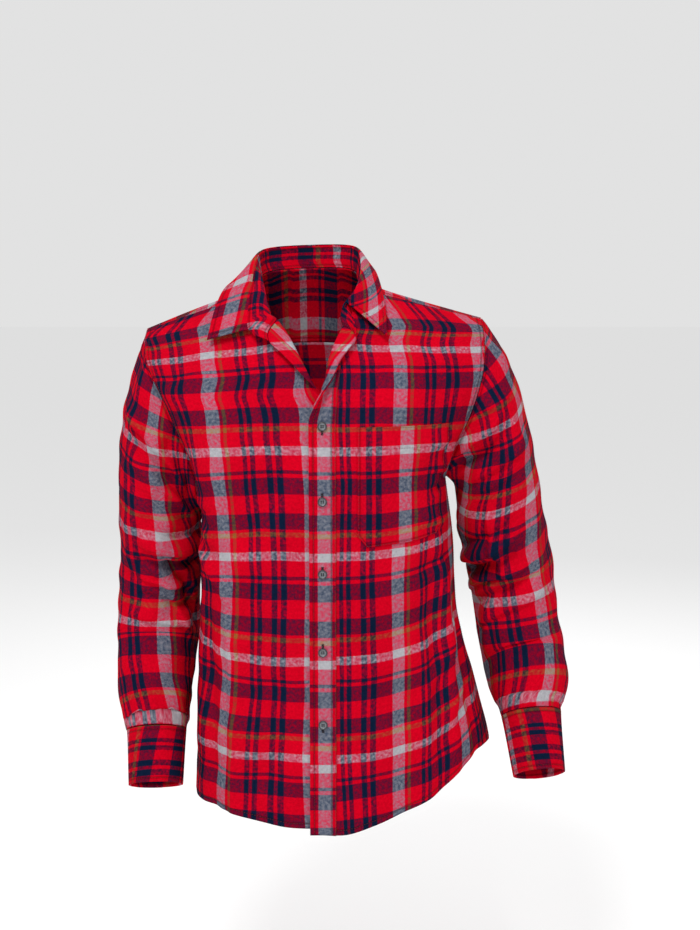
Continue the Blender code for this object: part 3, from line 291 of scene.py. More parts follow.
# ---------------------------------------------------------------- torso surfaces
class Side:
    """One side's tables; sign is +1 for the wearer's left."""

    def __init__(self, sign, front, side, arm_front, arm_back, arm_yoke, hem, cap):
        self.sign, self.front, self.side = sign, front, side
        self.arm_yoke, self.hem, self.cap = arm_yoke, hem, cap
        self.underarm = side[-1][0]
        self.curves = {key: smooth(numbered(table), np.linspace(0, len(table) - 1, 200))
                       for key, table in (("front", arm_front), ("back", arm_back))}

    def armhole(self, q, arm):
        """Points of the armhole's front or back half at the heights given."""
        curve = self.curves[arm]
        return columns_at(q, curve[:, 0], curve[:, 1:])

    def half_row(self, q, arm, centre, roundness, lift, samples):
        """A weft line from a centre out to the side seam, or to the armhole above the underarm."""
        outer = smooth(self.side, q) if q <= self.underarm else self.armhole(q, arm)
        end, left = 1.0, 0.0    # share of a full arc at which the row ends, and the depth left there
        if q > self.underarm:
            left = max((outer[1] - self.side[-1][2]) / (centre[1] - self.side[-1][2]), 0.0)
            end = (1 - left ** roundness) ** (1 / roundness)
        share = np.sin(np.linspace(0, math.asin(end), samples))
        depth = (np.maximum(1 - share ** roundness, 0) ** (1 / roundness) - left) / (1 - left)
        way = share / end
        return np.stack([centre[0] + (outer[0] - centre[0]) * way, outer[1] + (centre[1] - outer[1]) * depth,
                         centre[2] + (outer[2] - centre[2]) * way ** lift], axis=1)


RIGHT = Side(-1, FRONT_RIGHT, SIDE_RIGHT, ARM_FRONT_RIGHT, ARM_BACK_RIGHT, ARM_YOKE_RIGHT,
             HEM_RIGHT, CAP_RIGHT)
LEFT = Side(1, FRONT_LEFT, SIDE_LEFT, ARM_FRONT_LEFT, ARM_BACK_LEFT, ARM_YOKE_LEFT,
            HEM_LEFT, CAP_LEFT)


def front_row(side, q, samples=72):
    """A weft line of a front from its fold line round to the side, then its p, strip and curl."""
    fold_x, fold_y, fold_z, place, strip, curl, roundness, lift = smooth(side.front, q)
    row = side.half_row(q, "front", (fold_x, fold_y, fold_z), roundness, lift, samples)
    return row, place, strip, math.radians(max(curl, 0.0))


def back_row(q, samples=121):
    """A weft line of the back, from the right side through the centre to the left side."""
    *centre, roundness, lift = smooth(BACK, q)
    right, left = (side.half_row(q, "back", centre, roundness, lift, samples // 2 + 1)
                   for side in (RIGHT, LEFT))
    return np.concatenate([right[:0:-1], left])


def yoke_grid(shoulder, back_columns, rows):
    """The yoke, a horseshoe from the right front seam round the neck to the left front seam."""
    over = np.linspace(0, 1, shoulder + 1)
    seam = evenly(back_row(BACK_TOP), back_columns + 1)
    outer = np.concatenate([smooth(RIGHT.arm_yoke, over)[:-1], seam,
                            smooth(LEFT.arm_yoke, over[::-1])[1:]])
    turn = (1.6, 6.4)       # stations, from the right front seam, where the back's columns start and stop
    stations = NECK_RIGHT + np.concatenate([
        np.linspace(0, turn[0], shoulder + 1)[:-1], np.linspace(*turn, back_columns + 1),
        np.linspace(turn[1], NECK_LEFT - NECK_RIGHT, shoulder + 1)[1:]])
    inner = smooth(numbered(STAND), stations)[:, :3]
    shares = np.linspace(0, 1, rows + 1)
    grid = inner[None] + (outer - inner)[None] * shares[:, None, None]
    count = len(stations)
    place = np.arange(count) / (count - 1)
    near_right = 1 - ramp(0, shoulder / count, place)
    near_left = ramp(1 - shoulder / count, 1, place)
    for side, weight, column in ((RIGHT, near_right, 0), (LEFT, near_left, -1)):
        edge = evenly(front_row(side, FRONT_TOP)[0], rows + 1)
        grid += (edge - grid[:, column])[:, None] * weight[None, :, None]
    crown = np.interp(place, (0, 0.12, 0.30, 0.5, 0.70, 0.88, 1),
                      (0, YOKE_CROWN_RIGHT, YOKE_CROWN_BACK, YOKE_CROWN_BACK, YOKE_CROWN_BACK,
                       YOKE_CROWN_LEFT, 0))
    lift = np.sin(math.pi * shares)[:, None] * crown[None]
    slope = np.array([0.0, 0.6, 0.8]) * np.ones((count, 1))
    slope[:, 1] *= np.sin(math.pi * place) ** 2
    return grid + lift[:, :, None] * slope[None]


# ---------------------------------------------------------------- sleeves and cuffs
def ring_angles(ring):
    """Angle of each armhole point round the arm: 0 inner, pi/2 front, pi outer."""
    run = lengths(ring)
    top = int(np.argmax(ring[:, 2]))
    return np.where(np.arange(len(ring)) <= top, run / run[top] * math.pi,
                    math.pi + (run - run[top]) / (run[-1] - run[top]) * math.pi)


class Limb:
    """A tube down one arm, through the rings of its table; the last two rings are the cuff's."""

    def __init__(self, table, sign):
        places = np.linspace(0, len(table) - 1, 400)
        self.sign = sign
        self.fine = smooth(numbered(table), places)
        self.run = lengths(self.fine[:, :3])
        self.slope = np.gradient(self.fine[:, :3], axis=0)
        self.cuff_at = np.interp(len(table) - 2, places, self.run)
        self.wrist = (table[-2][3] + table[-2][4]) / 2

    def rings(self, angles, distances):
        """Rings square to the arm, at distances down it: angle 0 inner, pi/2 front, pi outer."""
        here, axis = (columns_at(distances, self.run, values)[:, None] for values in (self.fine, self.slope))
        axis = unit(axis)
        across = unit(np.array([self.sign, 0.0, 0.0]) - axis * axis[..., :1] * self.sign)
        ahead = np.cross(axis, across) * self.sign
        return (here[..., :3] - here[..., 3:4] * np.cos(angles)[:, None] * across
                + here[..., 4:5] * np.sin(angles)[:, None] * ahead)


def sleeve_grid(side, limb, ring, rows_cap, rows_arm):
    """A sleeve: the cap from the armhole to the first ring, then rings down to the cuff."""
    angles = ring_angles(ring)
    arm = limb.rings(angles, (limb.cuff_at - SLEEVE_END) * np.linspace(0, 1, rows_arm + 1))
    outer = (1 - np.cos(angles)) / 2
    path = np.linalg.norm(arm[0] - ring, axis=1, keepdims=True)
    low, high, down = side.cap
    leave = path * np.stack([side.sign * (low + (high - low) * outer), -0.04 * np.sin(angles),
                             -down * outer], axis=1)
    arrive = path * unit(arm[1] - arm[0])
    t = (np.arange(rows_cap) / rows_cap)[:, None, None]
    cap = (ring * (1 - 3 * t ** 2 + 2 * t ** 3) + arm[0] * (3 * t ** 2 - 2 * t ** 3)
           + leave * (t ** 3 - 2 * t ** 2 + t) + arrive * (t ** 3 - t ** 2))
    return np.concatenate([cap, arm])


def cuff_grid(limb, columns, rows):
    """A cuff: a strip wrapped round the wrist, its end lapping over its start at the back."""
    lap = CUFF_OVERLAP / limb.wrist
    angles = LAP_ANGLE + np.linspace(0, 2 * math.pi + lap, columns + 1)
    grid = limb.rings(angles, np.linspace(limb.cuff_at + SLEEVE_END, limb.run[-1], rows + 1))
    out = unit(grid - grid.mean(axis=1, keepdims=True))
    spread = ramp(2 * math.pi - 1.3 * lap, 2 * math.pi - 0.3 * lap, angles - LAP_ANGLE)
    return grid + out * (spread * LAYER * 1.2)[None, :, None]


# ---------------------------------------------------------------- collar
def stand_grid(stations, rows):
    """The collar stand, from the neckline seam up to its top edge, its ends rounded."""
    table = smooth(numbered(STAND), stations)
    low, high = table[:, :3].copy(), table[:, 3:]
    last = len(STAND) - 1
    ends = np.minimum(stations, last - stations)
    for number in np.flatnonzero(ends < 1):
        sign, flap = (-1, FLAP_TOP_RIGHT) if stations[number] < 1 else (1, FLAP_TOP_LEFT)
        low[number] = MAPS[sign].edge_point(np.interp(ends[number], (0, 1), flap))
    rounding = 1 - 0.25 * (1 - ramp(0, 0.5, ends))
    shares = np.linspace(0, 1, rows + 1)
    grid = low[None] + (high - low)[None] * shares[:, None, None] * rounding[None, :, None]
    grid += np.sin(math.pi * shares)[:, None, None] * smooth(STAND_BOW, stations)[None]
    grid[0] += (grid[1] - grid[0]) * smooth(STAND_GAP, stations) / clearance(grid[0], grid[1] - grid[0])
    return grid


def clearance(line, steps):
    """How far each step leads square away from a line of points."""
    ahead = unit(np.gradient(line, axis=0))
    return np.linalg.norm(steps - (steps * ahead).sum(axis=1, keepdims=True) * ahead, axis=1, keepdims=True)


def leaf_grid(stations, rows):
    """The collar leaf, from the fold at the stand's top down and out to its free edge."""
    stand, table = smooth(numbered(STAND), stations), smooth(LEAF, stations)
    top, edge, crown = stand[:, 3:], table[:, :3], table[:, 3:]
    rise = top - stand[:, :3]
    start = top + rise * 0.0003 / clearance(top, rise)
    peak = start + (edge - top) * 0.10 + (0.0, 0.0, 1.0) * crown
    t = (np.linspace(0, 1, rows + 1) ** 1.3)[:, None, None]
    return start * (1 - t) ** 2 + peak * 2 * t * (1 - t) + edge * t ** 2


# ---------------------------------------------------------------- looks, metres unless said
# How finely the cloth is divided. A front's near columns are those under its band.
NEAR_COLUMNS, FRONT_COLUMNS, FRONT_ROWS, BAND_ROWS = 27, 92, 196, 180
POCKET_ROWS, POCKET_COLUMNS, BACK_ROWS, BACK_COLUMNS = 61, 53, 172, 161
YOKE_SHOULDER, YOKE_BACK, YOKE_ROWS = 26, 96, 40    # columns over each shoulder and across the back, rows
CAP_STEPS, ARM_STEPS, SLEEVE_COLUMNS = 60, 118, 201
PLACKET_STEPS, PLACKET_ROWS, PLACKET_COLUMNS = 43, 50, 15   # steps of the sleeve that it reaches up
CUFF_ROWS, CUFF_COLUMNS, STAND_ROWS, LEAF_ROWS, LEAF_COLUMNS = 20, 128, 14, 40, 170
BUTTON_SEGMENTS = 72
Q_STEP, RUN_STEP = 0.0025, 0.002    # spacing of the fine maps, up the cloth and round it
MAP_COLUMNS, LINE_POINTS = 161, 241     # points of a fine map's row, and of the line that it is made from
WARP_REPEAT, WEFT_REPEAT, TWILL = 0.1122, 0.1335, 0.0012
WARP_LEFT, WARP_RIGHT, WARP_BAND = 0.0913, 0.1362, -0.0059   # p at which the grey stripe starts
WARP_POCKET, WARP_BACK = WARP_LEFT + 0.0045, 0.0089
WEFT_START = 0.1036         # place of a white line's upper edge
YARNS = {"red": (220, 0, 38), "navy": (20, 36, 60), "grey": (182, 180, 188), "white": (188, 188, 192),
         "orange": (156, 94, 48)}
# columns: width in millimetres, yarn
WARP = ((17.8, "grey"), (4.0, "red"), (4.4, "orange"), (15.6, "red"), (5.2, "navy"), (3.8, "red"),
        (5.9, "navy"), (12.6, "red"), (7.3, "navy"), (4.6, "red"), (7.6, "navy"), (23.4, "red"))
WEFT = ((11.2, "white"), (19.1, "red"), (4.4, "navy"), (5.1, "red"), (20.7, "navy"), (23.7, "red"),
        (20.5, "navy"), (3.8, "red"), (6.4, "orange"), (18.5, "red"))
# Folds. columns: start p, q, bend p, q, end p, q, half width, height, lean
CREASES_RIGHT = metres((
    (195, 385, 142, 352, 124, 300, 12, 6.6, 0.7), (128, 340, 114, 200, 118, -20, 14, 5.6, 0.6),
    (170, 340, 154, 180, 150, -50, 18, -7.4, 0), (205, 405, 170, 372, 135, 375, 11, -6.1, 0),
    (215, 450, 180, 425, 130, 440, 10, 4.6, 0.6), (200, 425, 170, 405, 135, 410, 9, -4.1, 0),
    (70, 300, 60, 180, 66, 20, 22, -4.6, 0), (90, 560, 110, 500, 170, 450, 16, 3.5, 0),
    (50, 500, 60, 430, 100, 380, 18, -3.5, 0), (90, 270, 110, 250, 150, 230, 10, 2.6, 0.5),
    (60, 210, 100, 180, 140, 140, 12, -3, 0), (30, 130, 80, 120, 130, 80, 14, 2.4, 0),
    (100, 620, 140, 600, 190, 560, 13, 2.6, 0),
), plain=(8,))
CREASES_LEFT = metres((
    (158, 400, 190, 280, 184, 20, 14, 5.8, 0.6), (138, 380, 160, 250, 156, -20, 14, -4.6, 0),
    (208, 300, 220, 180, 224, 20, 13, -5.6, 0), (140, 470, 172, 464, 205, 492, 9, 5.7, -0.7),
    (140, 445, 170, 440, 205, 468, 9, -5.4, 0), (130, 500, 165, 500, 200, 520, 9, 3.5, -0.6),
    (95, 330, 104, 200, 100, 20, 20, -5.1, 0), (60, 300, 62, 200, 58, 50, 16, 2.4, 0),
    (120, 420, 150, 390, 190, 390, 12, 4, -0.5), (120, 340, 150, 330, 185, 350, 10, -3.8, 0),
    (200, 240, 160, 180, 110, 140, 14, 3.3, 0), (230, 140, 200, 110, 150, 80, 14, -4.1, 0),
    (90, 640, 130, 610, 190, 570, 14, 2.6, 0),
), plain=(8,))
CREASES_BACK = metres((
    (-120, -50, -112, 150, -105, 340, 24, -8.8, 0), (-62, -50, -60, 100, -55, 260, 28, 5.5, 0),
    (45, -50, 42, 120, 40, 300, 28, 6.6, 0), (110, -50, 100, 150, 95, 360, 24, -9.9, 0),
    (0, 320, -50, 380, -100, 420, 20, 3.9, 0.3), (20, 340, 60, 390, 110, 430, 20, 3.9, -0.3),
    (-200, 450, -140, 420, -90, 440, 14, 4.4, 0.4), (210, 460, 150, 430, 100, 450, 14, 4.4, 0.4),
    (-30, 280, -70, 300, -150, 350, 15, -3.3, 0), (20, 290, 80, 310, 160, 360, 15, -3.3, 0),
), plain=(8,))
# On a sleeve: millimetres round from its outer line (front negative), and down from its first ring
CREASES_SLEEVE_RIGHT = metres((
    (4, -235, 0, -150, -4, -60, 35, 7.5, 0), (-215, -100, -205, -40, -195, 50, 26, 9, 0),
    (215, -100, 205, -40, 190, 50, 26, 8, 0), (-12, -172, -108, -156, -172, -70, 11, 9.8, -0.85),
    (-34, -145, -112, -124, -168, -44, 10, -8.3, 0), (-56, -112, -122, -88, -174, -20, 10, 5.7, -0.7),
    (-60, -80, -120, -62, -165, -10, 10, -5.1, 0), (-180, 26, -130, 14, -70, -8, 11, 10.3, 0.85),
    (-180, 50, -130, 37, -72, 14, 8.5, -12.8, 0), (-180, 0, -130, -8, -90, -24, 9, -5.4, 0),
    (-84, 16, -120, 92, -152, 190, 10, 8, -0.75), (-104, 8, -140, 78, -168, 150, 9, -8.7, 0),
    (-174, 86, -120, 74, -64, 46, 9, 6.4, 0.7), (-170, 112, -120, 104, -70, 84, 8.5, -7.2, 0),
    (-162, 142, -110, 138, -55, 118, 10, 4.6, 0.6), (-150, 200, -105, 196, -60, 180, 11, 3.2, 0.4),
    (-50, 60, -30, 140, -45, 230, 15, 3.7, 0), (-60, -50, -50, 0, -62, 50, 12, 3.4, 0),
    (172, 52, 120, 30, 60, 16, 10, -11.2, 0), (170, 26, 120, 6, 60, -12, 11, 8, -0.6),
    (166, 85, 110, 70, 40, 62, 10, 6.4, -0.6), (160, 116, 105, 105, 60, 100, 10, -6.6, 0),
    (140, 150, 80, 160, 20, 150, 11, 4.1, -0.4), (30, -150, 100, -130, 160, -60, 11, 6.7, 0.6),
    (20, -100, 80, -80, 150, -30, 13, 4.1, 0.4),
), plain=(8,))
CREASES_SLEEVE_LEFT = metres((
    (-236, -126, -150, -142, -90, -178, 11, 12.5, 0.85), (-232, -106, -150, -121, -85, -156, 9.5, -12, 0),
    (-150, -188, -110, -184, -70, -190, 9, 6, 0.6), (-184, -82, -130, -108, -56, -126, 9, 6.9, 0.8),
    (-180, -56, -128, -76, -70, -92, 9, -6, 0), (-192, 48, -142, 8, -80, -10, 10, 9.2, 0.85),
    (-192, 70, -142, 28, -84, 10, 8.5, -11.2, 0), (-190, 96, -135, 52, -66, 32, 9, 7.6, 0.8),
    (-188, 22, -135, -12, -80, -34, 9, -6.6, 0), (-128, -62, -114, 0, -102, 60, 8, 5.5, 0.5),
    (-182, 120, -125, 82, -60, 62, 9, -7.8, 0), (-176, 148, -120, 112, -50, 94, 9.5, 5.3, 0.7),
    (-160, 200, -110, 170, -55, 160, 11, 3.4, 0.4), (-120, 60, -145, 130, -160, 200, 10, 4.6, 0),
    (-30, 80, -50, 160, -30, 240, 15, 3.4, 0), (-40, -60, -55, -10, -40, 50, 13, 3.2, 0),
    (180, 58, 120, 34, 60, 12, 10, -10.8, 0), (176, 30, 120, 10, 52, -16, 11, 7.8, -0.6),
    (170, 90, 112, 74, 40, 60, 10, 6.4, -0.6), (165, 124, 110, 110, 62, 100, 10, -6.3, 0),
    (140, 160, 80, 165, 20, 150, 11, 3.9, -0.4), (30, -155, 100, -138, 165, -70, 11, 6.7, 0.6),
    (20, -105, 80, -88, 150, -40, 13, 4.1, 0.4),
), plain=(8,))
# Small gathers above a cuff. columns: way round, length, height
PUCKERS = metres((
    (-118, 30, 2), (-98, 22, -1.6), (-76, 34, 2.2), (-52, 24, -1.4), (-30, 30, 1.8), (-8, 20, -1.2),
    (16, 32, 2), (40, 22, -1.4), (66, 34, 2), (92, 24, -1.4), (112, 30, 1.8),
))
# Plaid on the sleeves. columns: way down from the first ring, place down the plaid
SLEEVE_WEFT_RIGHT = metres((
    (-300, -450), (-131, -261.4), (-19, -127.9), (134, 5.6), (288, 139.1), (340, 185),
))
SLEEVE_WEFT_LEFT = metres((
    (-300, -410), (-160, -261.4), (-49, -127.9), (102, 5.6), (262, 139.1), (340, 205),
))
SLEEVE_WARP = (0.0166, 0.0644)      # the plaid's place at a sleeve's outer line: right, left
# Plaid on the collar leaf. columns: way from an end, place down the plaid
LEAF_WEFT = metres((
    (0, 94.5), (40, 50.2), (58, 32.5), (88, 5.6), (131, -21.8), (155, -39), (440, -350.4), (529, -439.6),
    (560, -470.6),
))
LEAF_WARP = -0.0145         # the plaid's place at the leaf's free edge
YOKE_WARP = 0.147           # the plaid's place at the yoke's back seam
YOKE_WEFT, YOKE_STRETCH = 0.0254912, 1.184     # its place at the yoke's x = 0, and how far it is drawn out
# The plaid's place at a corner of each smaller piece
STAND_PLAID, CUFF_PLAID_RIGHT, CUFF_PLAID_LEFT = (0.03, -0.01), (0.0252, -0.0493), (0.0214, 0.2354)
CUFF_SLANT = 0.16           # how far the left cuff's plaid slants
# Unevenness of hanging cloth: length of its waves, height
FRONT_RIPPLE, BACK_RIPPLE, SLEEVE_RIPPLE = (0.07, 0.0013), (0.10, 0.0014), (0.055, 0.0014)
STITCH_PITCH, THREAD_RADIUS, TIE_RADIUS, BEAD_RADIUS = 0.0034, 0.00024, 0.0003, 0.00027
# One stitch. columns: share of the pitch, height above the cloth's middle
STITCH = ((0.08, 0.00025), (0.22, 0.00075), (0.70, 0.00075), (0.84, 0.00025))
HOLE_HALF = 0.0072          # half a buttonhole's length
BEAD_NEAR, BEAD_FAR = 0.0004, 0.0014    # a bead's inner and outer edge, from the buttonhole's middle line
BEAD_TURNS, BAR_TURNS = 52, 10      # turns of thread in a bead, and in a bar
# A button's sunk middle: share of its radius, share of its height, rings of points
SUNK_SHARE, SUNK_LEVEL, SUNK_STEPS = 0.52, 0.60, 14
# How each kind of piece is sewn: how far from its edge the cloth is pressed in by the thread, and how far
# from each edge of its grid the rows of thread lie
SEWING = {
    "front": (0.0065, {"bottom": (0.0065,), "last": (0.0022, 0.0072)}),
    "button_band": (0.0055, {"first": (0.0055,), "last": (0.0055, 0.0012)}),
    "pocket": (0.003, {"first": (0.0018,), "last": (0.0018,), "bottom": (0.0018,), "top": (0.027, 0.0015)}),
    "back": (0.0065, {"bottom": (0.0065,), "first": (0.0022,), "last": (0.0022,)}),
    "yoke": (0.006, {"top": (0.002, 0.0065), "first": (0.002,), "last": (0.002,)}),
    "sleeve": (0.004, {"first": (0.0015,)}),
    "sleeve_band": (0.002, {}),
    "cuff": (0.005, {"bottom": (0.005,), "top": (0.005, 0.0012)}),
    "collar_stand": (0.003, {"bottom": (0.003,)}),
    "collar_leaf": (0.0055, {"top": (0.0055,), "first": (0.0055,), "last": (0.0055,)}),
}
THREAD_COLOUR, TIE_COLOUR = (0.10, 0.008, 0.016), (0.012, 0.014, 0.022)
HOLE_COLOUR = (0.02, 0.010, 0.020)
FACE_COLOUR, RIM_COLOUR = (0.125, 0.137, 0.150), (0.030, 0.034, 0.040)
# How far each buttonhole's middle lies above its button's, from the top button down
HOLE_SHIFTS = (-0.0028, 0.0028, 0.0015, 0.0030, -0.0028)
FELLED = 0.0007             # a felled seam's three layers stand this much above the cloth
# How far the plaid lies off an even place, in millimetres: (across, up or down) at each knot.
# Fronts: p across, q down the table. Sleeves: metres round from the outer line across, metres down.
DRIFT_P, DRIFT_Q = (0.0, 0.07, 0.14, 0.22), (0.0, 0.06, 0.12, 0.22, 0.34, 0.46, 0.58, 0.64, 0.70)
DRIFT_ROUND, DRIFT_DOWN = (-0.16, -0.09, -0.02), (-0.18, -0.09, 0.0, 0.08, 0.16, 0.24, 0.31)
# The warp's further shift at the right front's turned-back edge, in metres: q, shift
TOP_DRIFT = ((0.44, 0.48, 0.515, 0.55, 0.565, 0.58, 0.60, 0.70),
             (0, -0.0025, -0.0052, -0.0010, 0.0030, 0.0085, 0.0120, 0.0120))
FRONT_DRIFT = {
    -1: (
        (11.7, -15.6, 1.8, -18.7, -7.1, -18.6, -16.5, -16.5),
        (7.3, -14.3, 2.5, -16.9, -4.9, -14.5, -14.2, -10), (3.3, -11.6, 4.3, -12.1, -2, -8, -10.5, -4.7),
        (0.3, -4.6, 1, -0.2, 1.5, -2.2, -4.5, -4.1), (1.4, 0, 4.8, -2.4, 4.4, -5.2, -0.9, -2.7),
        (2.8, -0.7, 0.4, -3.8, -1.2, -2.1, -1.9, 3.5), (4.7, -0.4, 3.8, 0.2, -0.2, 4.3, -4.2, 7.4),
        (4.6, -0.3, 0.8, 3, -2.4, 5.6, -5.2, 8.1), (5.2, 0.7, 1.1, 4.9, -2.8, 8.2, -7.1, 11),
    ),
    1: (
        (-9, -4.4, -0.6, -10, 7.2, -13.2, 17.8, -15.3), (-5.9, -10.2, 1.4, -13.2, 6, -10, 15.6, -12.7),
        (-1.4, -12.1, 2.1, -11, 3.4, -3.9, 14.4, -10.7), (-0.3, -5.9, 0.6, -3.5, 5.9, -0.5, 12.5, -6.1),
        (-0.5, -1, 3.7, -1.5, 7.7, -0.2, 9.1, 0.2), (-3.1, -1.7, 2, -0.1, 3.9, 4.9, 5.6, 5.6),
        (1.9, 1.5, 6.5, 1.3, 8.3, 4, 9.9, 4.3), (10.5, 6.5, 15.7, 4.7, 18.3, 2.9, 17.6, 1.4),
        (18.4, 11.2, 22.2, 5.9, 24.9, 2, 25.8, -1.3),
    ),
}
SLEEVE_DRIFT = {
    "right": (
        (12.7, -9.4, -8.7, 0.1, -13.3, 10.5), (10.9, -3.9, -1.3, 3.5, -13.2, 9.5),
        (6, -14, 1, 1.8, -3.2, -1.2), (1.8, 1.9, 2.4, 0.9, 1.8, 0.3), (-1.6, 0.3, 1.1, -3.2, 1.9, -4.2),
        (-6.9, -3.5, -2.6, -5.4, 1.8, -4.8), (-11.2, 0, -6.2, -0.7, 1.3, 0.7),
    ),
    "left": (
        (10.8, -7.1, -4.2, -1, -13, 4.2), (9.8, -4.9, 1.6, 1.8, -8.4, 6.6),
        (8.3, -2.2, 5.7, 4.2, 2.7, 8.2), (5.3, -1.1, 8.3, 4, 9.1, 7.4), (2.4, -0.4, 7, 2.4, 9.1, 3.9),
        (-0.8, -2.9, 1.7, -3, 3.9, 0), (-4.3, -1.7, -4.2, -1.7, -3.4, 0),
    ),
}


# ---------------------------------------------------------------- fine maps of the cloth
def at_grid(values, row, column):
    """Values of a grid of vectors at fractional rows and columns."""
    rows, columns = values.shape[:2]
    row, column = np.clip(row, 0, rows - 1), np.clip(column, 0, columns - 1)
    low, first = np.floor(row).astype(int), np.floor(column).astype(int)
    high, second = np.minimum(low + 1, rows - 1), np.minimum(first + 1, columns - 1)
    up, over = (row - low)[..., None], (column - first)[..., None]
    return ((values[low, first] * (1 - over) + values[low, second] * over) * (1 - up)
            + (values[high, first] * (1 - over) + values[high, second] * over) * up)


def blurred(values, spread):
    """A soft running mean down the rows."""
    reach = int(3 * spread)
    weights = np.exp(-0.5 * (np.arange(-reach, reach + 1) / spread) ** 2)
    weights /= weights.sum()
    padded = np.concatenate([np.repeat(values[:1], reach, 0), values, np.repeat(values[-1:], reach, 0)])
    return sum(weight * padded[number:number + len(values)] for number, weight in enumerate(weights))


def folds_at(folds, a, b):
    """Height of listed folds. Each is a bent line on the cloth, steeper on its leaning side.

    columns: start a, b, bend a, b, end a, b, half width, height, lean (-1 to 1)
    """
    total = np.zeros(np.broadcast(a, b).shape)
    share = np.linspace(0, 1, 15)[:, None]
    for a1, b1, a2, b2, a3, b3, width, height, lean in folds:
        line = ((1 - share) ** 2 * (a1, b1) + 2 * share * (1 - share) * (a2, b2)
                + share ** 2 * (a3, b3))
        run = lengths(line)
        near, where, side = np.full(total.shape, 9.0), np.zeros(total.shape), np.zeros(total.shape)
        for number, step in enumerate(np.diff(line, axis=0)):
            size = math.hypot(*step)
            way = ((a - line[number, 0]) * step[0] + (b - line[number, 1]) * step[1]) / size
            off = ((a - line[number, 0]) * step[1] - (b - line[number, 1]) * step[0]) / size
            inside = np.clip(way, 0, size)
            far = np.hypot(off, way - inside)
            closer = far < near
            near = np.where(closer, far, near)
            where = np.where(closer, run[number] + inside, where)
            side = np.where(closer, np.sign(off), side)
        ends = np.sin(np.clip(where / run[-1], 0, 1) * math.pi) ** 0.6
        reach = near / (width * (1 + lean * side * 0.75))
        total = total + height * ends * (1 - 0.5 * reach ** 2) * np.exp(-reach ** 2)
    return total


def ripple(a, b, seed, size, height):
    """Gentle unevenness of hanging cloth, made of long soft waves."""
    random = np.random.default_rng(seed)
    waves = 14
    total = np.zeros(np.broadcast(a, b).shape)
    for _ in range(waves):
        turn, length = random.uniform(0, math.pi), size * random.uniform(0.6, 1.6)
        phase = random.uniform(0, 2 * math.pi)
        total += np.sin((a * math.cos(turn) + b * math.sin(turn)) * 2 * math.pi / length + phase)
    return total * height / math.sqrt(waves)


def curved_hem(levels, rise):
    """q of rows that follow the hem's cut low down and turn to the weft above."""
    return np.where(levels < HEM_BLEND, rise + (HEM_BLEND - rise) * levels / HEM_BLEND, levels + 0 * rise)


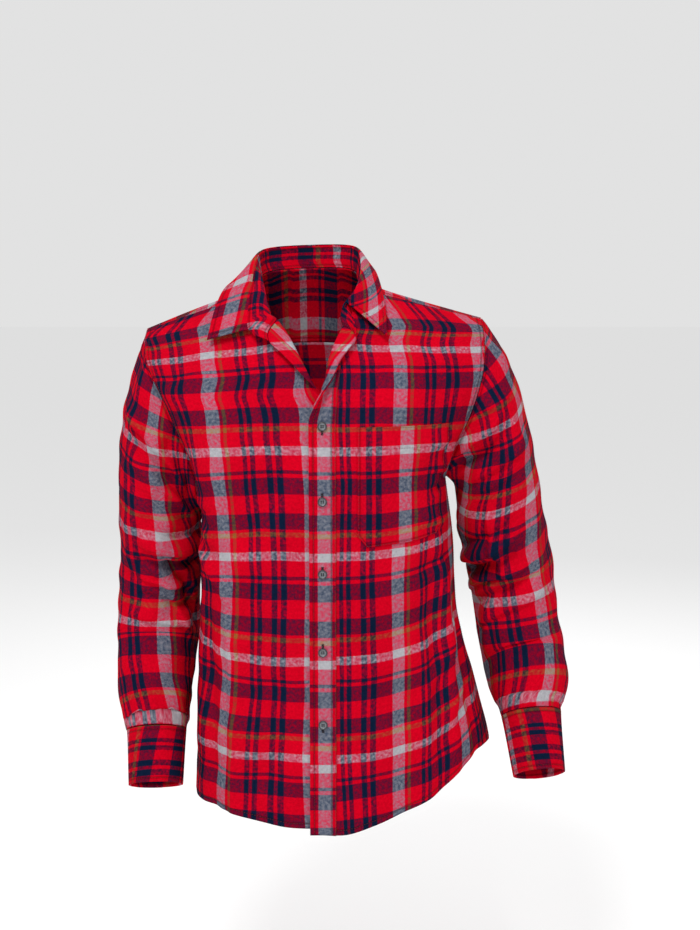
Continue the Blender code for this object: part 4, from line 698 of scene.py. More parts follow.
class FrontMap:
    """A fine map of one front: where each point of its cloth lies.

    grid: its rows' own shape. even: the same, blurred up the cloth. toward, out: where its edge rolls back,
    the directions past the fold line and away from the body.
    """

    def __init__(self, side):
        self.side = side
        self.q = np.arange(side.front[0][0], FRONT_TOP + 0.0001, Q_STEP)
        runs = np.arange(0, 0.40, RUN_STEP)
        rows, facts, columns, even = [], [], [], []
        for q in self.q:
            row, *roll = front_row(side, q, LINE_POINTS)
            length = lengths(row)[-1]
            row = evenly(row, MAP_COLUMNS)
            rows.append(row)
            facts.append((length, *roll))
            columns.append(self.spread(length, *roll))
            beyond = row[-1] + unit(row[-1] - row[-4]) * BEYOND_SIDE
            even.append(along(np.concatenate([row, beyond[None]]), runs))
        self.facts, self.columns = np.array(facts), np.array(columns)
        self.grid, self.even = np.array(rows), blurred(np.array(even), 8)
        toward = unit(self.grid[:, 0] - self.grid[:, 3])
        out = unit(np.stack([toward[:, 1], -toward[:, 0], toward[:, 2] * 0], axis=1) * -side.sign)
        self.toward, self.out = toward[:, None], out[:, None]

    @staticmethod
    def spread(length, place, strip, curl):
        """Distances of a row's points from its fold line, closer where the edge rolls back."""
        inner = max(BAND_WIDTH / 2 - place, 0.002, 0.004 - strip)
        even = np.linspace(-strip, inner, NEAR_COLUMNS + 1)
        roll = min(ROLL_RADIUS * curl, 0.8 * max(strip, 0.0))
        third = NEAR_COLUMNS // 3
        rolled = np.concatenate([np.linspace(-strip, -roll, third + 1)[:-1],
                                 np.linspace(-roll, 0.0, third + 1)[:-1],
                                 np.linspace(0.0, inner, NEAR_COLUMNS - 2 * third + 1)])
        near = even + (rolled - even) * (ramp(0.3, 1.2, curl) * ramp(0.004, 0.010, strip))
        return np.concatenate([near, np.linspace(near[-1], length, FRONT_COLUMNS + 1)[1:]])

    def fact(self, number, q):
        """A row's length, p of its fold line, strip or curl, by number, at the height q."""
        return np.interp(q, self.q, self.facts[:, number])

    def points(self, q, run):
        """Points at the height q, run past the fold line, or before it if negative."""
        level = (q - self.q[0]) / Q_STEP
        length, curl = self.fact(0, q), self.fact(3, q)
        flat = at_grid(self.grid, level, np.clip(run / length, 0, 1) * (MAP_COLUMNS - 1))
        soft = at_grid(self.even, level, np.maximum(run, 0) / RUN_STEP)
        inside = ramp(0.02, 0.07, run) * ramp(0.0, 0.05, length - run) * (1 - ramp(0.64, 0.70, q))
        flat = flat + (soft - flat) * inside[..., None]
        toward, out = (at_grid(axis, level, 0 * level) for axis in (self.toward, self.out))
        back = np.maximum(-run, 0)
        turn = np.minimum(back / ROLL_RADIUS, curl)
        rest = back - turn * ROLL_RADIUS
        return (flat + toward * (ROLL_RADIUS * np.sin(turn) + rest * np.cos(turn))[..., None]
                + out * (ROLL_RADIUS * (1 - np.cos(turn)) + rest * np.sin(turn))[..., None])

    def edge_point(self, q):
        """A point of the front's free edge, or of the cut edge above it."""
        q = np.array([float(q)])
        return self.points(q, -self.fact(2, q))[0]

    def rows(self, levels):
        """q and run of every point of the front's grid: rows follow the hem, then the weft."""
        start = columns_at(levels, self.q, self.columns)
        rise = smooth(self.side.hem, np.clip(start / self.fact(0, levels)[:, None], 0, 1))[..., 0]
        q = curved_hem(levels[:, None], rise)
        run = np.stack([np.interp(q[:, number], self.q, column)
                        for number, column in enumerate(self.columns.T)], axis=1)
        return q, run


# ---------------------------------------------------------------- plaid
def weft_place(q):
    """Place down the plaid at the height q; a front's cloth draws in a little."""
    return WEFT_START - np.interp(q, (-0.1, 0.098, 0.232, 0.369, 0.500, 0.632, 0.8),
                                  (-0.1, 0.098, 0.2315, 0.365, 0.4985, 0.632, 0.8))


def drifted(table, firsts, seconds, first, second):
    """Where the cloth lies off its even place, in metres, from a table in millimetres."""
    row = np.interp(second, seconds, np.arange(len(seconds)))
    column = np.interp(first, firsts, np.arange(len(firsts)))
    return at_grid(np.reshape(table, (len(seconds), len(firsts), 2)) / 1000, row, column)


def front_plaid(side, p, q):
    """Plaid coordinates of a front."""
    drift = drifted(FRONT_DRIFT[side.sign], DRIFT_P, DRIFT_Q, p, q)
    p, q = p + drift[..., 0], q + drift[..., 1]
    if side.sign > 0:
        return pair(p - WARP_LEFT, weft_place(q))
    shift = np.interp(q, (0.10, 0.19, 0.50, 0.53), (0.0065, 0, 0, 0.004))
    shift = shift - np.interp(q, *TOP_DRIFT) * ramp(0.0, 0.02, p)
    return pair(WARP_RIGHT - (p - shift), weft_place(q))


def measured(grid):
    """Distances along the rows and up the columns of a grid of points."""
    across = np.linalg.norm(np.diff(grid, axis=1, prepend=grid[:, :1]), axis=2)
    up = np.linalg.norm(np.diff(grid, axis=0, prepend=grid[:1]), axis=2)
    return np.cumsum(across, axis=1), np.cumsum(up, axis=0)


# ---------------------------------------------------------------- materials
class Graph:
    """A new material's nodes, with short ways to add to them."""

    def __init__(self, name):
        self.material = bpy.data.materials.new(name)
        self.material.use_nodes = True
        self.nodes = self.material.node_tree.nodes
        self.shader = self.nodes["Principled BSDF"]

    def node(self, kind, **inputs):
        """A node, its inputs set to values or linked to sockets."""
        node = self.nodes.new("ShaderNode" + kind)
        for name, value in inputs.items():
            self.put(node.inputs[name.replace("_", " ")], value)
        return node

    def put(self, socket, value):
        """Sets a socket to a value, or links it to another socket."""
        if isinstance(value, bpy.types.NodeSocket):
            self.material.node_tree.links.new(value, socket)
        else:
            socket.default_value = value

    def math(self, operation, *values):
        """What a sum of values and sockets comes to."""
        node = self.node("Math")
        node.operation = operation
        for socket, value in zip(node.inputs, values):
            self.put(socket, value)
        return node.outputs[0]

    def noise(self, vector, scale, detail, stretch=None):
        """Soft patches, scale of them to a metre; stretch gives each axis its own number."""
        if stretch:
            vector = self.node("Mapping", Scale=stretch, Vector=vector).outputs["Vector"]
        return self.node("TexNoise", Scale=scale, Detail=detail, Vector=vector).outputs["Fac"]

    def coordinates(self, layer):
        """A UV layer of the cloth, and its two parts."""
        node = self.node("UVMap")
        node.uv_map = layer
        parts = self.node("SeparateXYZ", Vector=node.outputs["UV"]).outputs
        return node.outputs["UV"], parts["X"], parts["Y"]

    def mix(self, **inputs):
        """A mix of the colours A and B."""
        node = self.node("Mix")
        node.data_type = "RGBA"
        for name, value in inputs.items():
            self.put(node.inputs[name], value)
        return node

    def stripes(self, place, yarns, period, soft=0.0007):
        """A repeating row of yarn colours with soft edges. yarns: (width in mm, colour)."""
        place = self.math("FRACT", self.math("DIVIDE", place, period))
        node = self.node("ValToRGB", Fac=place)
        elements, stops, at = node.color_ramp.elements, [], 0.0
        for width, colour in yarns:
            start, end = at / 1000 + soft / 2, (at + width) / 1000 - soft / 2
            stops += [(start / period, colour), (end / period, colour)]
            at += width
        while len(elements) < len(stops):
            elements.new(0.5)
        for element, (place, colour) in zip(elements, stops):
            element.position = min(place, 1.0)
            element.color = tuple(part / 255 for part in YARNS[colour]) + (1.0,)
        return node.outputs["Color"]

    def shades(self, factor, colour, shares, places=(0.0, 1.0)):
        """The shader's colour, from a darker to a lighter shade of one colour."""
        node = self.node("ValToRGB", Fac=factor)
        for element, share, at in zip(node.color_ramp.elements, shares, places):
            element.position = at
            element.color = tuple(min(part * share, 1.0) for part in colour) + (1.0,)
        self.put(self.shader.inputs["Base Color"], node.outputs["Color"])


def flannel(name, seam):
    """Brushed plaid flannel: warp and weft yarns mixed in a twill, with its nap and pressed seams, and
    painted shade darkening the seams' grooves.

    seam: how far from the edge the cloth is pressed in and the painted shade lies, in metres.
    """
    graph = Graph(name)
    calc, noise = graph.math, graph.noise
    cloth, across, down = graph.coordinates("Cloth")

    # yarns wander a little, so the stripes' edges are uneven, thread by thread
    drift = noise(cloth, 22.0, 1.0)
    colours = []
    for place, stretch, sign, yarns, period in ((across, (350, 1300, 1), 1, WARP, WARP_REPEAT),
                                                (down, (1300, 350, 1), -1, WEFT, WEFT_REPEAT)):
        wander = calc("MULTIPLY_ADD", noise(cloth, 1.0, 1.0, stretch), 0.0018, -0.0009 - sign * 0.0008)
        wander = calc("MULTIPLY_ADD", drift, sign * 0.0016, wander)
        colours.append(graph.stripes(calc("ADD", place, wander), yarns, period))

    # twill: the two yarns change places along steep diagonals, blurred by the brushed nap
    grain, nap = noise(cloth, 900.0, 2.0), noise(cloth, 260.0, 3.0)
    slope = calc("ADD", *(calc("MULTIPLY", place, 2 * math.pi / TWILL) for place in (across, down)))
    diagonal = calc("SINE", calc("MULTIPLY_ADD", grain, 2.2, slope))
    share = calc("MULTIPLY_ADD", diagonal, 0.16, 0.5)
    share = calc("MULTIPLY_ADD", calc("SUBTRACT", nap, 0.5), 1.2, share)
    mixed = graph.mix(Factor=share, A=colours[0], B=colours[1])

    # tone: mottled nap, slow unevenness, and painted shade darkening the seams' grooves
    tone = calc("MULTIPLY_ADD", nap, 0.26, 0.73)
    for patches, depth in ((grain, 0.22), (noise(cloth, 14.0, 3.0), 0.12)):
        tone = calc("MULTIPLY_ADD", calc("SUBTRACT", patches, 0.5), depth, tone)
    height = calc("MULTIPLY_ADD", diagonal, 0.00006, calc("MULTIPLY", nap, 0.0004))
    edge, away, _ = graph.coordinates("Edge")
    away = calc("ADD", away, calc("MULTIPLY_ADD", noise(cloth, 30.0, 1.0), 0.0012, -0.0006))
    off = calc("DIVIDE", calc("SUBTRACT", away, seam), 0.0013)
    groove_and_shade = calc("EXPONENT", calc("MULTIPLY", calc("MULTIPLY", off, off), -1.0))
    pucker = calc("MULTIPLY_ADD", noise(edge, 1.0, 1.0, (60, 160, 1)), 1.2, 0.2)
    height = calc("MULTIPLY_ADD", calc("MULTIPLY", groove_and_shade, pucker), -0.0007, height)
    # painted shade: the cloth's colour darkened along each seam's groove, where shadow would fall
    tone = calc("MULTIPLY_ADD", groove_and_shade, -0.20, tone)
    grey = graph.node("CombineColor", Red=tone, Green=tone, Blue=tone)
    toned = graph.mix(Factor=1.0, A=mixed.outputs["Result"], B=grey.outputs["Color"])
    toned.blend_type = "MULTIPLY"
    gamma = graph.node("Gamma", Gamma=2.2, Color=toned.outputs["Result"])
    bump = graph.node("Bump", Strength=0.6, Distance=1.0, Height=height)
    for socket, value in (("Base Color", gamma.outputs["Color"]), ("Roughness", 0.95),
                          ("Specular IOR Level", 0.03), ("Normal", bump.outputs["Normal"])):
        graph.put(graph.shader.inputs[socket], value)
    return graph.material


def plastic(name, colour, low, high, scale):
    """Satin moulded plastic with a faint marbling and an uneven polish."""
    graph = Graph(name)
    cloud = graph.noise(graph.node("TexCoord").outputs["Object"], scale, 4.0)
    graph.shades(cloud, colour, (0.75, 1.35), (0.3, 0.7))
    polish = graph.node("MapRange", To_Min=low, To_Max=high, Value=cloud)
    graph.put(graph.shader.inputs["Roughness"], polish.outputs["Result"])
    return graph.material


def thread(name, colour):
    """Twisted sewing thread."""
    graph = Graph(name)
    twist = graph.noise(graph.node("TexCoord").outputs["Object"], 3000.0, 2.0)
    graph.shades(twist, colour, (0.6, 1.4))
    graph.shader.inputs["Roughness"].default_value = 0.7
    return graph.material


# ---------------------------------------------------------------- making pieces
def quads(rows, columns, closed=False):
    """Row and column of each corner of the cells of a grid, its last column left open or closed."""
    low, side = np.mgrid[:rows - 1, :columns - 1]
    corners = [(low, side), (low, side + 1), (low + 1, side + 1), (low + 1, side)]
    used = columns - 1 if closed else columns
    return corners, np.stack([row * used + column % used for row, column in corners], axis=-1)


def sheet_mesh(name, grid, plaid, seams, closed, flip):
    """A mesh of quads from a grid of points, with its plaid and seam coordinates."""
    rows, columns = grid.shape[:2]
    corners, faces = quads(rows, columns, closed)
    if flip:
        corners, faces = corners[::-1], faces[..., ::-1]
    mesh = bpy.data.meshes.new(name)
    points = grid[:, :-1] if closed else grid
    mesh.from_pydata(points.reshape(-1, 3).tolist(), [], faces.reshape(-1, 4).tolist())
    for layer, values in (("Cloth", plaid), ("Edge", seams)):
        loops = np.stack([values[row, column] for row, column in corners], axis=2).reshape(-1)
        mesh.uv_layers.new(name=layer).data.foreach_set("uv", loops.astype(np.float32))
    mesh.shade_smooth()
    return mesh


def finished(name, mesh, material, nodes, slot):
    """A piece of the shirt's one body. nodes: the solids that it replaces."""
    piece = placed(name, mesh)
    mesh.materials.append(material)
    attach(piece, "root")
    if nodes:
        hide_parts(*nodes)
    return piece


def placed(name, data):
    """An object in the scene, of the mesh, lamp or camera given."""
    thing = bpy.data.objects.new(name, data)
    bpy.context.scene.collection.objects.link(thing)
    return thing


def cloth(node, grid, plaid, seams, out, flip=True, closed=False, wall=WALL, **pulls):
    """A cloth piece: a thin shell on the form of its solid, with its rows of thread beside its edges.

    seams: distance from the nearest edge, and along it. out: which way its normals face. pulls: see pull_in.
    """
    pressed, rows = SEWING[node.removesuffix("_right").removesuffix("_left")]
    THREADS[node] = seam_lines(grid, out, rows)
    mesh = sheet_mesh("cloth_" + node, pull_in(grid, **pulls), plaid, seams, closed, flip)
    piece = finished("cloth_" + node, mesh, flannel("flannel_" + node, pressed), [node], node)
    shell = piece.modifiers.new("wall", "SOLIDIFY")
    shell.thickness, shell.offset = wall, 0.0


# ---------------------------------------------------------------- sewing
def tube_mesh(name, lines, radius, sides=4):
    """Thread laid along lines of points, as one mesh of thin tubes."""
    turn = np.linspace(0, 2 * math.pi, sides, endpoint=False)[:, None]
    first, second = radius * np.cos(turn), radius * np.sin(turn)
    points, faces, start = [], [], 0
    for line in lines:
        ahead = unit(np.gradient(line, axis=0))
        other = unit(np.cross(ahead, (0.31, 0.52, 0.79)))
        third = np.cross(ahead, other)
        points.append(line[:, None] + (first * other[:, None] + second * third[:, None]))
        for ring in range(len(line) - 1):
            for side in range(sides):
                low, high = start + ring * sides, start + (ring + 1) * sides
                after = (side + 1) % sides
                faces.append((low + side, high + side, high + after, low + after))
        last = start + (len(line) - 1) * sides
        faces += [tuple(range(start, start + sides)), tuple(range(last, last + sides))[::-1]]
        start = last + sides
    mesh = bpy.data.meshes.new(name)
    mesh.from_pydata(np.concatenate(points).reshape(-1, 3).tolist(), [], faces)
    mesh.shade_smooth()
    return mesh


def line_at(grid, field, value, out, by_rows=True):
    """Points and outward normals along a grid where a rising field has the value given."""
    normals = grid_normals(grid) * out
    if not by_rows:
        grid, normals, field = grid.swapaxes(0, 1), normals.swapaxes(0, 1), field.T
    row = np.arange(len(grid)).astype(float)
    column = np.array([np.interp(level, one, np.arange(len(one)))
                       for one, level in zip(field, value + np.zeros(len(field)))])
    return at_grid(grid, row, column), at_grid(normals, row, column)


def seam_lines(grid, out, rows):
    """Lines beside a grid's edges. rows: distances from its bottom, top, first or last edge."""
    across, up = measured(grid)
    edges = {"bottom": (up, 1, False), "top": (up - up[-1:], -1, False),
             "first": (across, 1, True), "last": (across - across[:, -1:], -1, True)}
    return [line_at(grid, edges[name][0], edges[name][1] * distance, out, edges[name][2])
            for name, distances in rows.items() for distance in distances]


def sewn(node, lines):
    """All the rows of stitches of one cloth piece: each comes up, lies on the cloth and goes down."""
    made, (shares, heights) = [], np.array(STITCH).T
    for line, normals in lines:
        run = lengths(line)
        count = max(int(run[-1] / STITCH_PITCH), 1)
        for number in range(count):
            at = (number + shares) * run[-1] / count
            made.append(along(line, at) + columns_at(at, run, normals) * heights[:, None])
    if made:
        finished("stitches_" + node, tube_mesh("stitches_" + node, made, THREAD_RADIUS),
                 thread("thread_" + node, THREAD_COLOUR), [], node)


# ---------------------------------------------------------------- buttons
def seat_of(node):
    """The middle of a button's base, its outward axis, across and upright, read from its solid."""
    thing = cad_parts[node]
    spots = np.array([tuple(thing.matrix_world @ vertex.co) for vertex in thing.data.vertices])
    middle = (spots.max(axis=0) + spots.min(axis=0)) / 2
    axis = np.linalg.svd(spots - spots.mean(axis=0))[2][2]
    high = (spots - middle) @ axis
    wide = np.linalg.norm(spots - middle - high[:, None] * axis, axis=1) > 0.9 * BUTTON_RADIUS
    if high[wide].mean() < (high.max() + high.min()) / 2:
        axis, high = -axis, -high
    flat = unit(np.cross((0.0, 0.0, 1.0), axis))
    return middle + axis * high.min(), axis, flat, np.cross(axis, flat)


# A button's section. columns: share of its radius, share of its height
BUTTON_PROFILE = ((0.60, 0.64), (0.66, 0.74), (0.72, 0.88), (0.78, 0.97), (0.84, 1.0), (0.90, 0.97),
                  (0.96, 0.84), (1.0, 0.62), (1.0, 0.42), (0.95, 0.24), (0.84, 0.06))


def button_piece(node):
    """A turned four-hole button with a raised rim, and the thread that crosses its holes."""
    base, out, across, up = seat_of(node)
    radius, high = BUTTON_RADIUS, BUTTON_HEIGHT
    share, level = np.array(BUTTON_PROFILE).T
    steps = np.concatenate([np.linspace(0, SUNK_SHARE, SUNK_STEPS), share, np.linspace(0.8, 0.0, 4)])[:, None]
    levels = np.concatenate([np.full(SUNK_STEPS, SUNK_LEVEL), level, np.zeros(4)])[:, None]
    turn = np.linspace(0, 2 * math.pi, BUTTON_SEGMENTS + 1)[None]
    x, y = steps * radius * np.cos(turn), steps * radius * np.sin(turn)
    spaced = np.min([np.hypot(x - i * HOLE_SPACING, y - j * HOLE_SPACING)
                     for i in (-1, 1) for j in (-1, 1)], axis=0)
    hole = 1 - ramp(HOLE_RADIUS * 0.75, HOLE_RADIUS * 1.25, spaced)
    height = high * (levels - np.where(levels > 0.5, hole * 0.52, 0))
    grid = base + x[..., None] * across + y[..., None] * up + height[..., None] * out
    faces = quads(*grid.shape[:2], closed=True)[1].reshape(-1, 4)
    mesh = bpy.data.meshes.new("turned_" + node)
    mesh.from_pydata(grid[:, :-1].reshape(-1, 3).tolist(), [], faces.tolist())
    body = bmesh.new()
    body.from_mesh(mesh)
    bmesh.ops.remove_doubles(body, verts=body.verts, dist=0.00002)
    bmesh.ops.recalc_face_normals(body, faces=body.faces)
    for face in body.faces:
        away = np.array(face.calc_center_median()) - base
        away -= out * (away @ out)
        face.material_index = int(np.linalg.norm(away) > 0.70 * radius)
        face.smooth = True
    body.to_mesh(mesh)
    body.free()
    finished("turned_" + node, mesh, BUTTON_FACE, [node], node)
    mesh.materials.append(BUTTON_RIM)
    arch = np.linspace(-1, 1, 9)[:, None]
    strands = [base + HOLE_SPACING * (across * place + up * arch * 1.05)
               + out * (high * (0.62 - 0.45 * arch ** 6) + 0.0003) for place in (-1.17, -0.83, 0.83, 1.17)]
    finished("tie_" + node, tube_mesh("tie_" + node, strands, TIE_RADIUS, 6),
             thread("tie_thread_" + node, TIE_COLOUR), [], node)


def buttonhole(name, node, centre, out, long):
    """A worked buttonhole: two beads of satin stitch beside a slit, barred at both ends."""
    wide = np.cross(out, long)

    def zigzag(count, low, high):
        """Stitches to and fro, one value to a stitch."""
        return np.where(np.arange(count) % 2, low, high)[:, None]

    places = np.linspace(-HOLE_HALF, HOLE_HALF, BEAD_TURNS)[:, None]
    ticks = np.linspace(-BEAD_FAR, BEAD_FAR, BAR_TURNS)[:, None]
    bars = zigzag(BAR_TURNS, HOLE_HALF - 0.0005, HOLE_HALF + 0.0006)
    beads = [centre + long * places + wide * zigzag(BEAD_TURNS, BEAD_FAR, BEAD_NEAR) * side + out * 0.00012
             for side in (-1, 1)]
    beads += [centre + long * bars * end + wide * ticks + out * 0.0002 for end in (-1, 1)]
    beads.append(centre + long * np.linspace(-HOLE_HALF, HOLE_HALF, 7)[:, None] - out * 0.0001)
    finished("buttonhole_" + name, tube_mesh("buttonhole_" + name, beads, BEAD_RADIUS),
             thread("hole_thread_" + name, HOLE_COLOUR), [], node)


# ---------------------------------------------------------------- fronts
MAPS = {side.sign: FrontMap(side) for side in (RIGHT, LEFT)}
THREADS = {}                # each cloth piece's rows of thread


def front_height(side, p, q, left_over):
    """How far the creases raise a front's cloth; none at its seams and under the band."""
    folds = CREASES_RIGHT if side.sign < 0 else CREASES_LEFT
    height = folds_at(folds, p, q) + ripple(p, q, 3 + side.sign, *FRONT_RIPPLE)
    felled = FELLED * (1 - ramp(0.0075, 0.0105, left_over)) * ramp(0.0, 0.0012, left_over)
    return (height * ramp(0.019, 0.045, p) * ramp(0.0, 0.020, left_over)
            * (1 - ramp(0.685, 0.706, q))) + felled


def front_cloth(side, q, run, layer=0.0):
    """Points of a front with its creases, a layer out from its solid's middle, and their p."""
    chart = MAPS[side.sign]
    flat = chart.points(q, run)
    p = chart.fact(1, q) + run
    height = front_height(side, p, q, chart.fact(0, q) - run) + layer
    return flat + grid_normals(flat) * (side.sign * height)[..., None], p


def nearest(*distances):
    """Distance from the nearest of several edges."""
    return np.min(np.broadcast_arrays(*distances), axis=0)


for label, side in (("right", RIGHT), ("left", LEFT)):
    q, run = MAPS[side.sign].rows(np.linspace(0.0, FRONT_TOP, FRONT_ROWS))
    grid, p = front_cloth(side, q, run)
    across, up = measured(grid)
    outer = np.where(q > side.underarm - 0.02, across[:, -1:] - across, 9.0)
    cloth("front_" + label, grid, front_plaid(side, p, q), pair(nearest(up, outer), across + up),
          side.sign, flip=side is LEFT, last=SEAM)

q, run = (field[:, :NEAR_COLUMNS + 1] for field in MAPS[1].rows(np.linspace(0.0, BAND_TOP, BAND_ROWS)))
band, p = front_cloth(LEFT, q, run, LAYER)
across, up = measured(band)
cloth("button_band", band, pair(p - WARP_BAND, weft_place(q)),
      pair(nearest(across, across[:, -1:] - across), up), 1)

levels, shares = np.linspace(0, 1, POCKET_ROWS)[:, None], np.linspace(0, 1, POCKET_COLUMNS)[None]
first = BAND_WIDTH / 2 + POCKET_FROM_BAND
q = POCKET_BASE + POCKET_HEIGHT * levels + 0 * shares
cut = np.clip(1 - POCKET_HEIGHT * levels / POCKET_CORNER, 0, 1) * 0.8 * POCKET_CORNER
p = first + cut + (POCKET_WIDTH - 2 * cut) * shares
pocket, p = front_cloth(LEFT, q, p - MAPS[1].fact(1, q), LAYER)
cloth("pocket", pocket, pair(p - WARP_POCKET, weft_place(q)),
      pair(nearest(p - first - cut, first + POCKET_WIDTH - cut - p, q - POCKET_BASE), q), 1)

# ---------------------------------------------------------------- back and yoke
back_q = np.arange(BACK[0][0], BACK_TOP + 0.0001, Q_STEP)
rows = np.array([evenly(back_row(q, 301), LINE_POINTS) for q in back_q])
# evened out, but not beside the side seams and the yoke's seam
weight = (1 - ramp(0.85, 1.0, np.abs(np.linspace(-1, 1, LINE_POINTS)))) * (
    1 - ramp(0.57, 0.62, back_q))[:, None]
rows += (blurred(rows, 4) - rows) * weight[..., None]
back_length = [lengths(row)[-1] for row in rows]
levels, shares = np.linspace(0.0, BACK_TOP, BACK_ROWS)[:, None], np.linspace(-1, 1, BACK_COLUMNS)[None]
q = curved_hem(levels, smooth(HEM_BACK, np.abs(shares))[..., 0])
grid = at_grid(rows, (q - back_q[0]) / Q_STEP, (shares + 1) / 2 * (LINE_POINTS - 1) + 0 * q)
p = shares * np.interp(q, back_q, back_length) / 2
height = (folds_at(CREASES_BACK, p, q) + ripple(p, q, 9, *BACK_RIPPLE)) * (
    1 - ramp(0.92, 1.0, np.abs(shares))) * (1 - ramp(0.60, 0.628, q))
grid = grid - grid_normals(grid) * height[..., None]
across, up = measured(grid)
cloth("back", grid, pair(p - WARP_BACK, weft_place(q)), pair(up, across), -1, flip=False,
      first=SEAM, last=SEAM)


def from_back_seam(grid):
    """Distance of each yoke point from the back seam, straight over the shoulder along its own x."""
    faces = quads(*grid.shape[:2])[1].reshape(-1, 4).tolist()
    tree = BVHTree.FromPolygons([Vector(point) for point in grid.reshape(-1, 3)], faces)
    xs, ys = np.linspace(-0.225, 0.225, 91), np.linspace(0.125, -0.040, 111)
    hits = [[tree.ray_cast(Vector((x, y, 0.5)), Vector((0, 0, -1)))[0] for y in ys] for x in xs]
    level = np.array([[hit.z if hit else math.nan for hit in row] for row in hits])
    steps = np.hypot(np.diff(level, axis=1, prepend=math.nan), ys[0] - ys[1])
    run = np.cumsum(np.nan_to_num(steps), axis=1)
    row = (grid[..., 0] - xs[0]) / (xs[1] - xs[0])
    column = (ys[0] - grid[..., 1]) / (ys[0] - ys[1])
    return at_grid(run[..., None], row, column)[..., 0]


grid = yoke_grid(YOKE_SHOULDER, YOKE_BACK, YOKE_ROWS)
across, up = measured(grid)
cloth("yoke", grid, pair(YOKE_WARP - from_back_seam(grid), YOKE_STRETCH * grid[..., 0] + YOKE_WEFT),
      pair(nearest(up[-1:] - up, across, across[:, -1:] - across), across), 1, bottom=YOKE_SEAM)


# ---------------------------------------------------------------- sleeves and cuffs
def sleeve_frame(side, limb):
    """A sleeve's plain grid and angles, the way round from its outer line and down from its first ring."""
    ring = np.concatenate([side.armhole(np.linspace(side.underarm, FRONT_TOP, 120), "front"),
                           smooth(side.arm_yoke, np.linspace(0, 1, 41))[1:],
                           side.armhole(np.linspace(side.underarm, BACK_TOP, 90)[::-1], "back")[1:]])
    ring = evenly(ring, SLEEVE_COLUMNS)
    grid = sleeve_grid(side, limb, ring, CAP_STEPS, ARM_STEPS)
    angles = ring_angles(ring)
    across, up = measured(grid)
    outer = np.interp(math.pi, angles, np.arange(len(angles)))
    middle = np.array([np.interp(outer, np.arange(len(angles)), row) for row in across])
    down = up - up[CAP_STEPS]
    down[CAP_STEPS:] = ((limb.cuff_at - SLEEVE_END) * np.linspace(0, 1, ARM_STEPS + 1))[:, None]
    return grid, angles, across - middle[:, None], down


for label, side, table, folds, weft, shift in (
        ("right", RIGHT, LIMB_RIGHT, CREASES_SLEEVE_RIGHT, SLEEVE_WEFT_RIGHT, SLEEVE_WARP[0]),
        ("left", LEFT, LIMB_LEFT, CREASES_SLEEVE_LEFT, SLEEVE_WEFT_LEFT, SLEEVE_WARP[1])):
    limb, out, flip = Limb(table, side.sign), -side.sign, side is LEFT
    grid, angles, around, down = sleeve_frame(side, limb)
    last = down[-1].max()
    gathers = [(where, last + 0.012, where, last - size / 2, where * 0.97, last - size, 0.0062, rise, 0)
               for where, size, rise in PUCKERS]
    height = (folds_at([*folds, *gathers], around, down)
              + ripple(around, down, 15 + side.sign, *SLEEVE_RIPPLE))
    rows, columns = CAP_STEPS + ARM_STEPS, SLEEVE_COLUMNS - 1
    row, column = np.arange(rows + 1)[:, None], np.arange(columns + 1)[None]
    height *= (ramp(0, 6, row) * ramp(0, 4, rows - row)         # none at the seams
               * ramp(0, 3, np.minimum(column, columns - column)))
    grid = grid + grid_normals(grid) * (height * out)[..., None]
    drift = drifted(SLEEVE_DRIFT[label], DRIFT_ROUND, DRIFT_DOWN, around, down)
    drift *= (1 - ramp(-0.02, 0.06, around))[..., None]
    plaid = pair((around + drift[..., 0]) * side.sign + shift, np.interp(down + drift[..., 1], *weft.T))
    gap = np.interp(np.cos(angles), (0.5, 1.0), ARMHOLE_SEAM)
    across, up = measured(grid)
    cloth("sleeve_" + label, grid, plaid, pair(up, across), out, flip, closed=True, bottom=gap)

    middle = np.interp(LAP_ANGLE, angles, column[0])
    half = SLEEVE_BAND_WIDTH / 2 / (across[-20, -1] / columns)
    places = np.broadcast_arrays(np.linspace(rows - PLACKET_STEPS, rows, PLACKET_ROWS)[:, None],
                                 middle + np.linspace(-half, half, PLACKET_COLUMNS)[None])
    strip = pull_in(at_grid(grid + grid_normals(grid) * (LAYER * out), *places), top=0.0025)
    across, up = measured(strip)
    cloth("sleeve_band_" + label, strip, at_grid(plaid, *places) + 0.02,
          pair(nearest(across, across[:, -1:] - across), up), out, flip)

    cuff = cuff_grid(limb, CUFF_COLUMNS, CUFF_ROWS)
    across, up = measured(cuff)
    if side is LEFT:
        plaid = pair(up, -across - CUFF_SLANT * up) + CUFF_PLAID_LEFT
    else:
        plaid = pair(up, across) + CUFF_PLAID_RIGHT
    cloth("cuff_" + label, cuff, plaid, pair(nearest(up, up[-1:] - up), across), out, flip,
          wall=DOUBLE_WALL)

# ---------------------------------------------------------------- collar
stations = np.unique(np.concatenate([np.linspace(0, 1.5, 26), np.linspace(1.5, 12.5, 130),
                                     np.linspace(12.5, 14, 26)]))
stand = stand_grid(stations, STAND_ROWS)
across, up = measured(stand)
cloth("collar_stand", stand, pair(up, across) + STAND_PLAID, pair(nearest(up, up[-1:] - up), across), 1,
      wall=DOUBLE_WALL)
leaf = leaf_grid(np.linspace(LEAF[0][0], LEAF[-1][0], LEAF_COLUMNS), LEAF_ROWS)
across, up = measured(leaf)
far = up[-1:] - up
cloth("collar_leaf", leaf, pair(far + LEAF_WARP, np.interp(across, *LEAF_WEFT.T)),
      pair(nearest(far, across, across[:, -1:] - across), across + up), 1, wall=LEAF_WALL)

BUTTON_FACE = plastic("button_face", FACE_COLOUR, 0.30, 0.48, 300.0)
BUTTON_RIM = plastic("button_rim", RIM_COLOUR, 0.25, 0.42, 300.0)
for node in sorted(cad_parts):
    if node.startswith("button_") and node != "button_band":
        button_piece(node)

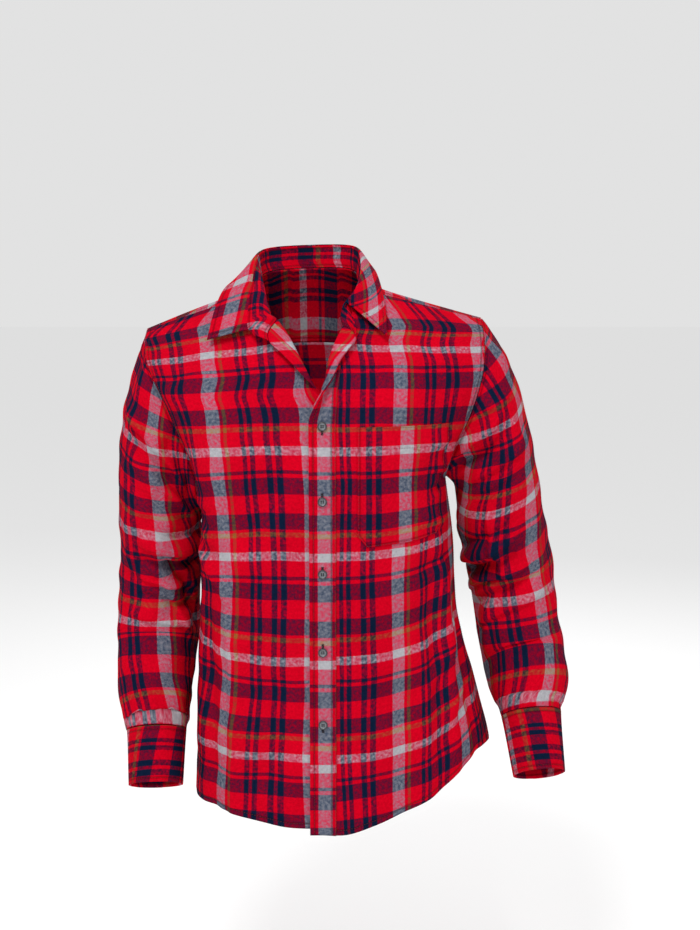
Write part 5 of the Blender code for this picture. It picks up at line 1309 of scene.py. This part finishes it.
for number, shift in enumerate(HOLE_SHIFTS, 1):
    base, out, across, up = seat_of("button_%d" % number)
    buttonhole(str(number), "button_band", base + up * shift - out * (SEAT - 0.00085), out, up)

for node, lines in THREADS.items():
    sewn(node, lines)

# ---------------------------------------------------------------- camera, lights, stage
CAMERA_PLACE, CAMERA_TILT = (0.0467, -1.63, -0.037), 83     # metres; degrees up from straight down
LENS, SENSOR_WIDTH = 48.387, 36     # millimetres
WORLD_STRENGTH = 0.76
FLOOR_LEVEL, FLOOR_REACH = -1.15, 90
camera = placed("camera", bpy.data.cameras.new("camera"))
camera.data.lens, camera.data.sensor_width = LENS, SENSOR_WIDTH
camera.location = CAMERA_PLACE
camera.rotation_euler = (math.radians(CAMERA_TILT), 0, 0)
bpy.context.scene.camera = camera

for name, place, target, size, power in (("key", (-0.6, -2.0, 1.9), (0, 0, -0.3), 0.8, 50),
                                         ("fill", (1.6, -2.0, 0.3), (0, 0, -0.35), 1.6, 5),
                                         ("back", (0.6, 2.2, 1.4), (0, 0, -0.3), 1.4, 24)):
    lamp = bpy.data.lights.new(name, "AREA")
    lamp.shape, lamp.size, lamp.energy = "DISK", size, power
    thing = placed(name, lamp)
    thing.location = place
    thing.rotation_euler = (Vector(target) - Vector(place)).to_track_quat("-Z", "Y").to_euler()

world = bpy.data.worlds.new("studio")
world.use_nodes = True
world.node_tree.nodes["Background"].inputs["Color"].default_value = (1, 1, 1, 1)
world.node_tree.nodes["Background"].inputs["Strength"].default_value = WORLD_STRENGTH
bpy.context.scene.world = world
bpy.context.scene.view_settings.view_transform = "Standard"

floor_mesh = bpy.data.meshes.new("floor")
floor_mesh.from_pydata([(x * FLOOR_REACH, y * FLOOR_REACH, FLOOR_LEVEL)
                        for x, y in ((-1, -1), (1, -1), (1, 1), (-1, 1))], [], [(0, 1, 2, 3)])
floor = placed("floor", floor_mesh)
pale = Graph("pale_floor")
for socket, value in (("Base Color", (0.97, 0.97, 0.97, 1)), ("Roughness", 1.0), ("Specular IOR Level", 0.0)):
    pale.shader.inputs[socket].default_value = value
floor_mesh.materials.append(pale.material)
